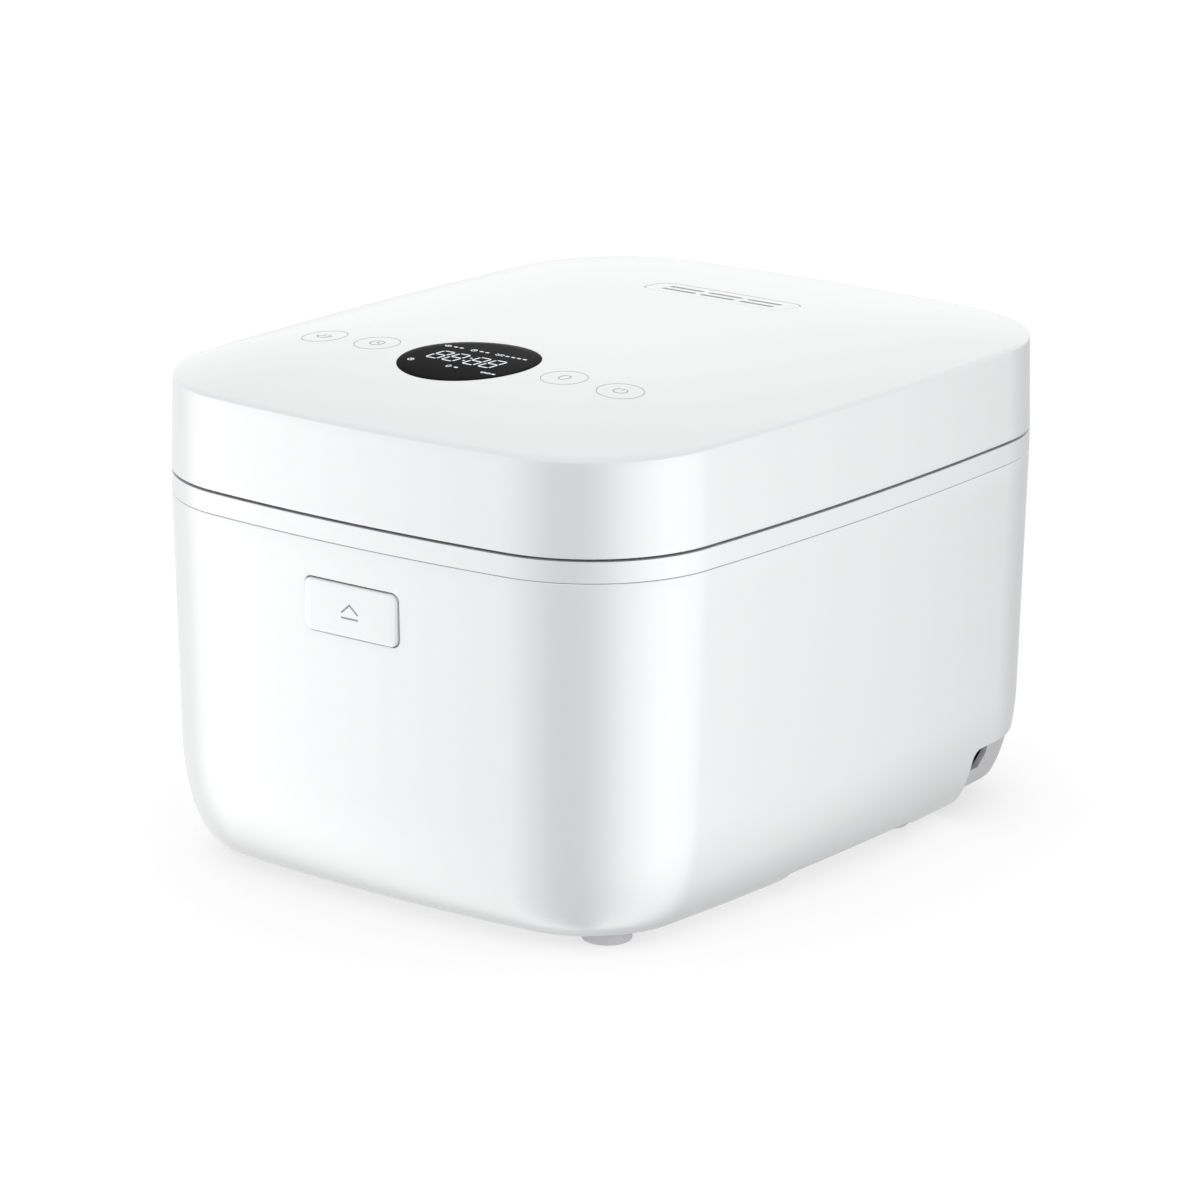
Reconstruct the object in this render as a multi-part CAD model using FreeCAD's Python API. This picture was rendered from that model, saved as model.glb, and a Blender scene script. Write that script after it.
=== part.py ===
"""Electric rice cooker: hinged lid, lift-out inner pot, heating plate and front release button.

Units are millimetres. The origin is on the floor under the middle of the cooker, the front faces
-Y and +Z is up. Every loose piece is one STEP file, and moving groups keep running clearance.
"""
import FreeCAD, Part
import math
import os

os.makedirs("parts", exist_ok=True)

# ---- driving dimensions ---------------------------------------------------------------------
HALF_WIDTH = 131.0
HALF_DEPTH = 163.0
END_BOW = 11.2            # how far the front and rear walls bow out over the half width
SIDE_BOW = 8.7            # how far the side walls bow out over the half depth
CORNER_R = 59.5
WALL = 2.4                # moulded wall thickness

SHELL_BOTTOM_Z = 4.5
SHELL_TOP_Z = 150.9
TAPER = 0.025             # inward lean of the outer shell per mm of height
BASE_ROUND_IN = 16.0      # the rounded lower edge is a quarter ellipse, this far inwards
BASE_ROUND_UP = 44.0      # and this far upwards

DECK_BOTTOM_Z = 151.1
DECK_TOP_Z = 159.5
DECK_PLATE = 2.5
LID_BOTTOM_Z = 160.5
LID_EDGE_Z = 199.0
LID_DRAFT = 0.97
DOME_RISE = 11.5          # height of the dome over the lid edge at the middle
DOME_TILT = -0.0287       # the dome falls towards the rear by this slope
DOME_POWER = 3.7          # a high power keeps the dome flat in the middle

POT_Y = 8.0               # the pot, plate and sensor share this axis
POT_R = 96.5
POT_WALL = 2.0
POT_BOTTOM_Z = 40.0
POT_CORNER_R = 35.0
POT_RIM_R = 103.6
POT_RIM_Z = 154.0
POT_RIM_T = 2.4
DECK_MOUTH_R = 104.5

HINGE_Y = 157.5
HINGE_Z = 158.0
KNUCKLE_R = 5.6
HINGE_SWEEP_R = 6.4       # lid and deck stay clear of the knuckles by this radius
PIN_R = 2.0
RUN_CLEARANCE = 0.05

LATCH_Y = -138.0
LATCH_Z = 137.0
BUTTON_Z = 125.0
BUTTON_HALF_X = 23.2
BUTTON_HALF_Z = 10.5
BUTTON_PROUD = 0.5

HOUSING_INSET = 1.5
HOUSING_WING_Z = 13.0

DISPLAY_Y = -89.7
DISPLAY_R = 28.5
KEY_X = (-74.4, -47.1, 47.1, 74.4)
KEY_Y = -89.5

VENT_Y = 77.5
VENT_HALF_X = 36.0
VENT_HALF_Y = 9.5
VENT_CORNER_R = 6.0
VENT_FLOOR_Z = 180.0

FOOT_R = 10.0
FOOT_PLACES = {"foot_front_left": (-92.0, -119.0), "foot_front_right": (92.0, -119.0),
               "foot_rear_left": (-95.0, 66.0), "foot_rear_right": (95.0, 66.0)}
NOTCH_Y = 88.0            # the rear lower edge of the shell is cut away behind this line
NOTCH_Z = 31.0
GRIP_Y = (-33.0, 57.0)    # hand grips under both lower side edges
GRIP_X = 92.0
GRIP_Z = 9.0
BASE_OPENING_INSET = 46.0

UP = FreeCAD.Vector(0, 0, 1)
ALONG_X = FreeCAD.Vector(1, 0, 0)
ALONG_Y = FreeCAD.Vector(0, 1, 0)


# ---- general shape helpers ------------------------------------------------------------------
def vec(x, y, z=0.0):
    return FreeCAD.Vector(x, y, z)


def box(x0, x1, y0, y1, z0, z1):
    return Part.makeBox(x1 - x0, y1 - y0, z1 - z0, vec(x0, y0, z0))


def cylinder(radius, z0, z1, x=0.0, y=0.0):
    return Part.makeCylinder(radius, z1 - z0, vec(x, y, z0), UP)


def tube(outer, inner, z0, z1, x=0.0, y=0.0):
    return cylinder(outer, z0, z1, x, y).cut(cylinder(inner, z0, z1, x, y))


def rod_x(radius, x0, x1, y, z):
    return Part.makeCylinder(radius, x1 - x0, vec(x0, y, z), ALONG_X)


def rod_y(radius, y0, y1, x, z):
    return Part.makeCylinder(radius, y1 - y0, vec(x, y0, z), ALONG_Y)


def fuse(shapes):
    result = shapes[0].multiFuse(shapes[1:]) if len(shapes) > 1 else shapes[0]
    return result.removeSplitter()


def mirrored_x(shape):
    return shape.mirror(vec(0, 0, 0), ALONG_X)


def rounded_plate(half_x, half_y, radius, z0, z1, y=0.0):
    """A flat block with rounded vertical corners, centred on x = 0."""
    block = box(-half_x, half_x, y - half_y, y + half_y, z0, z1)
    uprights = [e for e in block.Edges if abs(e.tangentAt(e.FirstParameter).z) > 0.9]
    return block.makeFillet(radius, uprights)


def revolved(points, x=0.0, y=0.0):
    """A closed outline of (radius, height) points turned about a vertical axis."""
    loop = [vec(x + r, y, z) for r, z in points]
    face = Part.Face(Part.makePolygon(loop + loop[:1]))
    return face.revolve(vec(x, y, 0), UP, 360)


# ---- plan outline of the cooker -------------------------------------------------------------
END_R = (HALF_WIDTH ** 2 + END_BOW ** 2) / (2 * END_BOW)
SIDE_R = (HALF_DEPTH ** 2 + SIDE_BOW ** 2) / (2 * SIDE_BOW)
END_CENTRE = vec(0, END_R - HALF_DEPTH)
SIDE_CENTRE = vec(HALF_WIDTH - SIDE_R, 0)


def corner_centre():
    """Centre of the front right corner arc, tangent to the front arc and to the side arc."""
    reach_end = END_R - CORNER_R
    reach_side = SIDE_R - CORNER_R
    between = SIDE_CENTRE - END_CENTRE
    gap = between.Length
    along = (reach_end ** 2 - reach_side ** 2 + gap ** 2) / (2 * gap)
    across = math.sqrt(reach_end ** 2 - along ** 2)
    unit = between * (1 / gap)
    return END_CENTRE + unit * along + vec(-unit.y, unit.x) * across


CORNER = corner_centre()


def outline(inset, z=0.0, scale=1.0):
    """The plan outline as eight tangent arcs, moved inwards by inset, then scaled."""
    to_corner_end = (CORNER - END_CENTRE).normalize()
    to_corner_side = (CORNER - SIDE_CENTRE).normalize()
    on_end = END_CENTRE + to_corner_end * (END_R - inset)
    on_side = SIDE_CENTRE + to_corner_side * (SIDE_R - inset)
    middle = (to_corner_end + to_corner_side).normalize()
    on_corner = CORNER + middle * (CORNER_R - inset)
    front = HALF_DEPTH - inset
    side = HALF_WIDTH - inset

    def place(point, sx, sy):
        return vec(point.x * sx * scale, point.y * sy * scale, z)

    stops = [place(on_end, -1, 1), vec(0, -front * scale, z), place(on_end, 1, 1),
             place(on_corner, 1, 1), place(on_side, 1, 1), vec(side * scale, 0, z),
             place(on_side, 1, -1), place(on_corner, 1, -1), place(on_end, 1, -1),
             vec(0, front * scale, z), place(on_end, -1, -1), place(on_corner, -1, -1),
             place(on_side, -1, -1), vec(-side * scale, 0, z), place(on_side, -1, 1),
             place(on_corner, -1, 1)]
    stops.append(stops[0])
    edges = [Part.Arc(*stops[i:i + 3]).toShape() for i in range(0, 16, 2)]
    return Part.Wire(edges)


def slab(inset, z0, z1):
    """The plan outline as an upright block."""
    return Part.Face(outline(inset, z0)).extrude(vec(0, 0, z1 - z0))


def body_block(extra, bottom, top):
    """The outer shell's form, moved inwards by extra, from bottom to top."""
    rise = SHELL_BOTTOM_Z + BASE_ROUND_UP - bottom
    waist = bottom + rise
    upper = [outline(extra + TAPER * (SHELL_TOP_Z - z), z) for z in (top, waist)]
    lower = []
    for step in range(7):
        turn = math.radians(15 * step)
        z = bottom + rise * (1 - math.sin(turn))
        inset = extra + TAPER * (SHELL_TOP_Z - z) + BASE_ROUND_IN * (1 - math.cos(turn))
        lower.append(outline(inset, z))
    return Part.makeLoft(upper, True, True).fuse(Part.makeLoft(lower, True, False))


def lid_block(extra, drop, bottom):
    """The lid's form with its pillow top, moved inwards by extra and down by drop."""
    edge = LID_EDGE_Z - drop
    side = Part.makeLoft([outline(extra, bottom), outline(extra + LID_DRAFT, edge)], True, True)
    sections = []
    for scale in (1.0, 0.97, 0.93, 0.87, 0.78, 0.66, 0.5, 0.32, 0.15):
        share = 1 - scale ** DOME_POWER
        ring = outline(extra + LID_DRAFT, 0, scale)
        ring.rotate(vec(0, 0, 0), ALONG_X, math.degrees(math.atan(DOME_TILT * share)))
        ring.translate(vec(0, 0, edge + DOME_RISE * share))
        sections.append(ring)
    dome = Part.makeLoft(sections, True, False)
    return side.fuse(dome)


LID_OUTER = lid_block(0, 0, LID_BOTTOM_Z)
LID_INNER = lid_block(WALL, WALL, LID_BOTTOM_Z - 1)


def under_lid_skin(shape, depth):
    """The share of a shape that lies in the lid's top skin, down to the given depth."""
    lowered = LID_OUTER.copy()
    lowered.translate(vec(0, 0, -depth))
    return shape.common(LID_OUTER).cut(lowered)


# ---- outer shell, deck and base ---------------------------------------------------------------
def grip_block(extra):
    """The finger space under one lower side edge, with sloping ends."""
    low = -1.0
    high = GRIP_Z + extra
    slope = 8.0
    points = [vec(GRIP_X - extra, GRIP_Y[0] - slope - extra, low),
              vec(GRIP_X - extra, GRIP_Y[1] + slope + extra, low),
              vec(GRIP_X - extra, GRIP_Y[1] + extra, high),
              vec(GRIP_X - extra, GRIP_Y[0] - extra, high)]
    face = Part.Face(Part.makePolygon(points + points[:1]))
    return face.extrude(vec(60, 0, 0))


def notch_block(extra):
    """The space cut out of the shell's rear lower edge, rounded at its inner upper corner."""
    block = box(-150, 150, NOTCH_Y - extra, 180, -1, NOTCH_Z + extra)
    corner = [e for e in block.Edges
              if abs(e.CenterOfMass.y - NOTCH_Y + extra) < 0.01
              and abs(e.CenterOfMass.z - NOTCH_Z - extra) < 0.01]
    return block.makeFillet(5.0 + extra, corner)


def button_opening(gap, y0, y1):
    half_x = BUTTON_HALF_X + gap
    half_z = BUTTON_HALF_Z + gap
    block = box(-half_x, half_x, y0, y1, BUTTON_Z - half_z, BUTTON_Z + half_z)
    corners = [e for e in block.Edges if abs(e.tangentAt(e.FirstParameter).y) > 0.9]
    return block.makeFillet(3.0 + gap, corners)


def outer_shell():
    grips = [grip_block(0), mirrored_x(grip_block(0))]
    thick_grips = [grip_block(WALL), mirrored_x(grip_block(WALL))]
    outside = body_block(0, SHELL_BOTTOM_Z, SHELL_TOP_Z).cut(grips + [notch_block(0)])
    inside = body_block(WALL, SHELL_BOTTOM_Z + WALL, SHELL_TOP_Z + 1)
    inside = inside.cut(thick_grips + [notch_block(WALL)])
    base_opening = slab(BASE_OPENING_INSET, 0, SHELL_BOTTOM_Z + WALL + 0.5)
    base_opening = base_opening.common(box(-150, 150, -180, NOTCH_Y - 4, 0, 20))
    return outside.cut([inside, base_opening, button_opening(0.5, -170, -150)])


def latch_mount():
    """Two ears under the deck for the latch pin, and the rib that the latch spring rests on."""
    ears = []
    for x0 in (-12.0, 9.4):
        ears.append(box(x0, x0 + 2.6, LATCH_Y - 5, LATCH_Y + 5, LATCH_Z - 5, DECK_TOP_Z - 1))
    rib = box(-12, 12, -125, -122.6, 114, DECK_TOP_Z - 1)
    return fuse(ears + [rib]).cut(rod_x(PIN_R + RUN_CLEARANCE, -20, 20, LATCH_Y, LATCH_Z))


def deck():
    plate_z = DECK_TOP_Z - DECK_PLATE
    top_plate = slab(0, plate_z, DECK_TOP_Z)
    band = slab(0, DECK_BOTTOM_Z, plate_z).cut(slab(WALL, DECK_BOTTOM_Z - 1, plate_z + 1))
    lip = slab(WALL + 0.4, 146, plate_z).cut(slab(WALL + 2.4, 145, plate_z + 1))
    collar = tube(DECK_MOUTH_R + WALL, DECK_MOUTH_R, 152.3, plate_z, 0, POT_Y)
    trough_z = HINGE_Z - HINGE_SWEEP_R - 0.2
    trough_low = slab(WALL + 0.4, trough_z - 2, DECK_BOTTOM_Z + 0.1)
    trough_high = slab(0, DECK_BOTTOM_Z, plate_z)
    trough = fuse([trough_low, trough_high]).common(box(-85.4, 85.4, 145.6, 170, 140, plate_z))
    solid = fuse([top_plate, band, lip, collar, trough, latch_mount()])
    trough_space = box(-83, 83, 148, 170, trough_z, 165)
    mouth = cylinder(DECK_MOUTH_R, 140, 165, 0, POT_Y)
    latch_slot = box(-9, 9, -149.5, -126, 150, 165)
    return solid.cut([trough_space, mouth, latch_slot])


VENT_SLOT_X = (22, 29, 36, 43)


def base_plate():
    """The bottom cover, with a stepped edge and two slotted uprights for the power board."""
    low = slab(BASE_OPENING_INSET + 0.3, SHELL_BOTTOM_Z, SHELL_BOTTOM_Z + WALL)
    low = low.common(box(-150, 150, -180, NOTCH_Y - 4.3, 0, 20))
    step = slab(BASE_OPENING_INSET - 4, SHELL_BOTTOM_Z + WALL, SHELL_BOTTOM_Z + WALL + 2)
    step = step.common(box(-88.5, 88.5, -180, NOTCH_Y - 3, 0, 20))
    uprights = []
    for side in (-1, 1):
        post = box(50.2, 54.6, -121, -115, SHELL_BOTTOM_Z + WALL + 1, 95)
        slot = box(49, 51.6, -118.9, -117.1, 21.9, 96)
        post = post.cut(slot)
        uprights.append(post if side > 0 else mirrored_x(post))
    plate = fuse([low, step] + uprights)
    for x, y in post_places():
        plate = plate.cut([cylinder(3.6, 0, 6.2, x, y), cylinder(1.9, 0, 20, x, y)])
    for x in VENT_SLOT_X:
        plate = plate.cut([box(side * x - 1.5, side * x + 1.5, -22, 32, 0, 20) for side in (-1, 1)])
    return plate


def foot(x, y):
    body = cylinder(FOOT_R, 0, SHELL_BOTTOM_Z, x, y)
    low_edge = [e for e in body.Edges if e.BoundBox.ZMax < 0.01]
    return body.makeChamfer(0.8, low_edge)


def post_places():
    radius = 66.0
    turns = [math.radians(a) for a in (30, 150, 270)]
    return [(radius * math.cos(t), POT_Y + radius * math.sin(t)) for t in turns]


def base_screw(x, y):
    head = cylinder(3.4, 4.7, 6.2, x, y)
    cross = fuse([box(x - 2, x + 2, y - 0.4, y + 0.4, 4, 5.5), box(x - 0.4, x + 0.4, y - 2, y + 2, 4, 5.5)])
    return head.fuse(cylinder(1.8, 6.2, 18, x, y)).cut(cross)


def plate_post(x, y):
    return tube(5.0, 1.85, SHELL_BOTTOM_Z + WALL + 2, 26, x, y)


def rear_housing():
    """The grey housing in the rear notch, with raised wings and a small side opening at each end."""
    front = NOTCH_Y + 3
    top = NOTCH_Z - 0.8
    wings = box(-150, 150, front, 170, HOUSING_WING_Z, top)
    middle = box(-80, 80, front, 170, 0, top)
    outside = body_block(HOUSING_INSET, 5.5, 60).common(fuse([wings, middle]))
    wings = box(-150, 150, front + WALL, 170, HOUSING_WING_Z + WALL, top + 2)
    middle = box(-80 + WALL, 80 - WALL, front + WALL, 170, 0, top + 2)
    inside = body_block(HOUSING_INSET + WALL, 5.5 + WALL, 60).common(fuse([wings, middle]))
    socket_hole = box(-14.3, 14.3, 120, 170, 9.7, 28.3)
    points = [(NOTCH_Y, 33), (100.6, 33), (101.6, 27), (97.5, 21), (NOTCH_Y, 21)]
    loop = [vec(100, y, z) for y, z in points]
    side_hole = Part.Face(Part.makePolygon(loop + loop[:1])).extrude(vec(50, 0, 0))
    return outside.cut([inside, socket_hole, side_hole, mirrored_x(side_hole)])


def inlet_socket():
    body = box(-14, 14, 130, 152, 10, 28)
    corners = [e for e in body.Edges if abs(e.tangentAt(e.FirstParameter).y) > 0.9]
    body = body.makeFillet(2.0, corners)
    recess = box(-12, 12, 134, 153, 12, 26)
    chamfered = [e for e in recess.Edges
                 if abs(e.tangentAt(e.FirstParameter).y) > 0.9 and e.CenterOfMass.z > 20]
    return body.cut(recess.makeChamfer(4.0, chamfered))


def inlet_pin(x, z):
    return box(x - 1, x + 1, 134, 149, z - 2, z + 2)


# ---- heating, pot and pot sensor ---------------------------------------------------------------
def heat_shield():
    inner = 98.5
    outer = inner + 0.8
    points = [(inner, 152.3), (inner, 35.8), (78, 35.8), (78, 35), (outer, 35), (outer, 151.5),
              (DECK_MOUTH_R + 2, 151.5), (DECK_MOUTH_R + 2, 152.3)]
    return revolved(points, 0, POT_Y)


def heating_plate():
    points = [(18.5, 26), (75, 26), (75, 37), (72, POT_BOTTOM_Z), (18.5, POT_BOTTOM_Z)]
    return revolved(points, 0, POT_Y)


def heating_element():
    """A tubular element bent to an open ring under the plate, with its two cold ends turned down."""
    ring_r = 54.0
    tube_r = 4.2
    ring_z = 21.6
    start = math.radians(-75)
    circle = Part.Face(Part.Wire(Part.makeCircle(tube_r, vec(ring_r, POT_Y, ring_z), ALONG_Y)))
    ring = circle.revolve(vec(0, POT_Y, 0), UP, 330)
    ring.rotate(vec(0, POT_Y, 0), UP, -75)
    pieces = [ring]
    for turn in (start, start + math.radians(330)):
        x = ring_r * math.cos(turn)
        y = POT_Y + ring_r * math.sin(turn)
        pieces.append(Part.makeSphere(tube_r, vec(x, y, ring_z)))
        pieces.append(cylinder(2.2, 10.5, ring_z, x, y))
    return fuse(pieces)


def thermal_fuse():
    body = rod_x(3.0, -11, 11, POT_Y + 34, 22.8)
    lug = box(-4, 4, POT_Y + 28, POT_Y + 40, 18.6, 20.2)
    return fuse([body, rod_x(0.8, -20, 20, POT_Y + 34, 22.8), lug])


def sensor_bracket():
    strap = box(-32, 32, POT_Y - 9, POT_Y + 9, 13, 14.4)
    legs = [box(x, x + 1.4, POT_Y - 9, POT_Y + 9, 13, 26) for x in (-32, 30.6)]
    return fuse([strap] + legs).cut(cylinder(6, 10, 20, 0, POT_Y))


def sensor_cap():
    """The sprung thermostat cap that touches the bottom of the pot through the plate."""
    points = [(0, 11), (5.2, 11), (5.2, 31), (15.5, 31), (17, 32.5), (17, 38.4), (15.8, 39.6), (0, 39.6)]
    return revolved(points, 0, POT_Y)


def inner_pot():
    """A drawn pot with a round lower corner and a flat rolled rim."""
    def profile(radius, corner, low, top):
        bend = math.sqrt(0.5)
        knee = vec(radius - corner, POT_Y, low)
        mid = vec(radius - corner + corner * bend, POT_Y, low + corner * (1 - bend))
        wall = vec(radius, POT_Y, low + corner)
        edges = [Part.makeLine(vec(0, POT_Y, low), knee), Part.Arc(knee, mid, wall).toShape(),
                 Part.makeLine(wall, vec(radius, POT_Y, top)),
                 Part.makeLine(vec(radius, POT_Y, top), vec(0, POT_Y, top)),
                 Part.makeLine(vec(0, POT_Y, top), vec(0, POT_Y, low))]
        return Part.Face(Part.Wire(edges)).revolve(vec(0, POT_Y, 0), UP, 360)

    top = POT_RIM_Z + POT_RIM_T
    outside = profile(POT_R, POT_CORNER_R, POT_BOTTOM_Z, top)
    rim = cylinder(POT_RIM_R, POT_RIM_Z, top, 0, POT_Y)
    inside = profile(POT_R - POT_WALL, POT_CORNER_R - POT_WALL, POT_BOTTOM_Z + POT_WALL, top + 1)
    return outside.fuse(rim).cut(inside)


# ---- power electronics --------------------------------------------------------------------------
def power_board():
    return box(-51.4, 51.4, -118.8, -117.2, 22, 100)


def transformer():
    core = box(-44, -12, -146, -118.8, 30, 62)
    windings = box(-39, -17, -150, -118.8, 26, 66)
    return fuse([core, windings])


def heat_sink():
    plate = box(4, 44, -121.8, -118.8, 62, 94)
    fins = [box(x, x + 1.6, -142, -121.8, 62, 94) for x in (4, 11.7, 19.4, 27.1, 34.8, 42.4)]
    return fuse([plate] + fins)


# ---- hinge ------------------------------------------------------------------------------------------
def hinge_knuckle(side):
    """One body knuckle on the floor of the hinge trough."""
    x0, x1 = (51.0, 66.0) if side > 0 else (-66.0, -51.0)
    floor_z = HINGE_Z - HINGE_SWEEP_R - 0.2
    eye = rod_x(KNUCKLE_R, x0, x1, HINGE_Y, HINGE_Z)
    stem = box(x0, x1, HINGE_Y - KNUCKLE_R, HINGE_Y + 1, floor_z, HINGE_Z)
    return fuse([eye, stem]).cut(rod_x(PIN_R, x0 - 1, x1 + 1, HINGE_Y, HINGE_Z))


def hinge_plate():
    """The lid's barrel with its steel plate, screwed on top of the lid frame."""
    eye = rod_x(KNUCKLE_R, -38, 38, HINGE_Y, HINGE_Z)
    riser = box(-38, 38, HINGE_Y - KNUCKLE_R, HINGE_Y - 2.2, HINGE_Z, 165)
    leaf = box(-38, 38, 118, HINGE_Y - 2.2, 163, 165)
    return fuse([eye, riser, leaf]).cut(rod_x(PIN_R + RUN_CLEARANCE, -40, 40, HINGE_Y, HINGE_Z))


def hinge_spring(side):
    x0 = 39.5 if side > 0 else -49.5
    coil = rod_x(4.9, x0, x0 + 10, HINGE_Y, HINGE_Z)
    return coil.cut(rod_x(3.3, x0 - 1, x0 + 11, HINGE_Y, HINGE_Z))


# ---- release button and latch ---------------------------------------------------------------------
def release_button():
    """The push button with a bowed face, a stop flange behind the wall and a push rod."""
    cap = button_opening(0, -170, -157).common(slab(-BUTTON_PROUD, 100, 150))
    flange = box(-26, 26, -159.0, -157.0, BUTTON_Z - 13, BUTTON_Z + 13)
    rod = box(-5, 5, -157, -141.6, BUTTON_Z - 4.5, BUTTON_Z - 0.5)
    return fuse([cap, flange, rod])


def latch_hook():
    """The rocking latch: the rod pushes its lower end in, and its nose then leaves the striker."""
    points = [(-141, 118), (-135, 118), (-135, 163.7), (-130.6, 163.7), (-130.6, 165), (-135.5, 169),
              (-141, 169)]
    loop = [vec(-6, y, z) for y, z in points]
    plate = Part.Face(Part.makePolygon(loop + loop[:1])).extrude(vec(12, 0, 0))
    hub = rod_x(5, -8.8, 8.8, LATCH_Y, LATCH_Z)
    return fuse([plate, hub]).cut(rod_x(PIN_R + RUN_CLEARANCE, -10, 10, LATCH_Y, LATCH_Z))


def striker():
    """The steel bar under the lid that the latch nose holds, with its two fixing ears."""
    bar = box(-8.8, 8.8, -133.9, -131.3, 160.7, 163.1)
    pieces = [bar]
    for side in (-1, 1):
        leg = box(7.2, 8.8, -133.9, -127.6, 160.7, 164.6)
        ear = box(7.2, 16, -133.9, -127.6, 163.1, 164.6)
        for piece in (leg, ear):
            pieces.append(piece if side > 0 else mirrored_x(piece))
    return fuse(pieces)


# ---- lid ------------------------------------------------------------------------------------------------
def vent_block(gap, z0, z1):
    radius = max(VENT_CORNER_R + gap, 1.0)
    return rounded_plate(VENT_HALF_X + gap, VENT_HALF_Y + gap, radius, z0, z1, VENT_Y)


def lid_shell():
    solid = LID_OUTER.cut(LID_INNER)
    bosses = []
    for x in (-82, 82):
        for y in (-113, -70):
            bosses.append(cylinder(3.5, 197.6, 208, x, y).common(LID_INNER))
    solid = solid.fuse(bosses)
    window_seat = under_lid_skin(cylinder(DISPLAY_R + 0.15, 190, 220, 0, DISPLAY_Y), 2.05)
    window_hole = cylinder(DISPLAY_R - 3, 190, 220, 0, DISPLAY_Y)
    hinge_sweep = rod_x(HINGE_SWEEP_R, -72, 72, HINGE_Y, HINGE_Z)
    return solid.cut([window_seat, window_hole, vent_block(0.3, 190, 220), hinge_sweep])


def lid_frame():
    """The flat inner lining of the lid, open for the latch, the steam pipe and the hinge."""
    plate = slab(WALL + 0.3, LID_BOTTOM_Z, LID_BOTTOM_Z + 2.5)
    latch_slot = box(-9, 9, -151, -126.5, 155, 170)
    pipe_hole = cylinder(11.8, 150, 170, 0, VENT_Y)
    hinge_sweep = rod_x(HINGE_SWEEP_R + 0.2, -72, 72, HINGE_Y, HINGE_Z)
    hinge_gap = box(-38.3, 38.3, HINGE_Y - KNUCKLE_R - 0.3, 170, 155, 170)
    return plate.cut([latch_slot, pipe_hole, hinge_sweep, hinge_gap])


def display_window():
    return under_lid_skin(cylinder(DISPLAY_R, 190, 220, 0, DISPLAY_Y), 2.0)


def display_module():
    return box(-24, 24, DISPLAY_Y - 9, DISPLAY_Y + 9, 197.6, 206.4)


def touch_board():
    return box(-88, 88, -118, -65, 196, 197.6)


def inner_lid_plate():
    points = [(0, 158.4), (84, 158.4), (88, 157.4), (92, 157.4), (92, 158.6), (88.4, 158.6), (84.4, 159.6),
              (0, 159.6)]
    plate = revolved(points, 0, POT_Y)
    return plate.cut([cylinder(13.2, 150, 170, 0, VENT_Y), cylinder(6.4, 150, 170, 34, 30)])


def lid_seal():
    """The soft ring that closes on the pot's rim."""
    points = [(92.2, 157.2), (92.2, 160.4), (101.5, 160.4), (101.5, 158.8), (99.5, 156.7), (96, 156.7),
              (94, 157.2)]
    return revolved(points, 0, POT_Y)


def inner_lid_clip():
    return box(-11, 11, -78, -64, 154.8, 157.4).fuse(box(-7, 7, -76, -66, 157.4, 158.4))


def lid_thermistor():
    return cylinder(6.0, 155.6, LID_BOTTOM_Z, 34, 30)


def steam_well():
    """The cup under the vent cap and its pipe down to the inner lid."""
    outside = vent_block(2.5, VENT_FLOOR_Z - 2, 215).common(LID_INNER)
    inside = vent_block(0.3, VENT_FLOOR_Z, 220)
    pipe = cylinder(11.5, LID_BOTTOM_Z, VENT_FLOOR_Z - 1, 0, VENT_Y)
    return outside.fuse(pipe).cut([inside, cylinder(9.2, 150, VENT_FLOOR_Z + 1, 0, VENT_Y)])


def steam_cap():
    """The lift-off vent cap, flush with the lid and slotted in two rows of three."""
    body = vent_block(0, VENT_FLOOR_Z, 220).common(LID_OUTER)
    skin_floor = LID_OUTER.copy()
    skin_floor.translate(vec(0, 0, -2.2))
    hollow = vent_block(-2.2, VENT_FLOOR_Z - 1, 220).common(skin_floor)
    slots = []
    for x in (-20.0, 0.0, 20.0):
        for y in (VENT_Y - 3.3, VENT_Y + 2.5):
            slots.append(box(x - 8.8, x + 8.8, y - 1.3, y + 1.3, 200, 220))
    return body.cut([hollow] + slots)


def steam_baffle():
    """The plate in the bottom of the cap that catches starchy water."""
    plate = vent_block(-2.3, VENT_FLOOR_Z, VENT_FLOOR_Z + 1.6)
    wall = vent_block(-5, VENT_FLOOR_Z + 1.6, VENT_FLOOR_Z + 12).cut(vent_block(-6.2, 170, 200))
    holes = [cylinder(2.5, 170, 190, x, VENT_Y) for x in (-22, 22)]
    return plate.fuse(wall).cut(holes)


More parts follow.
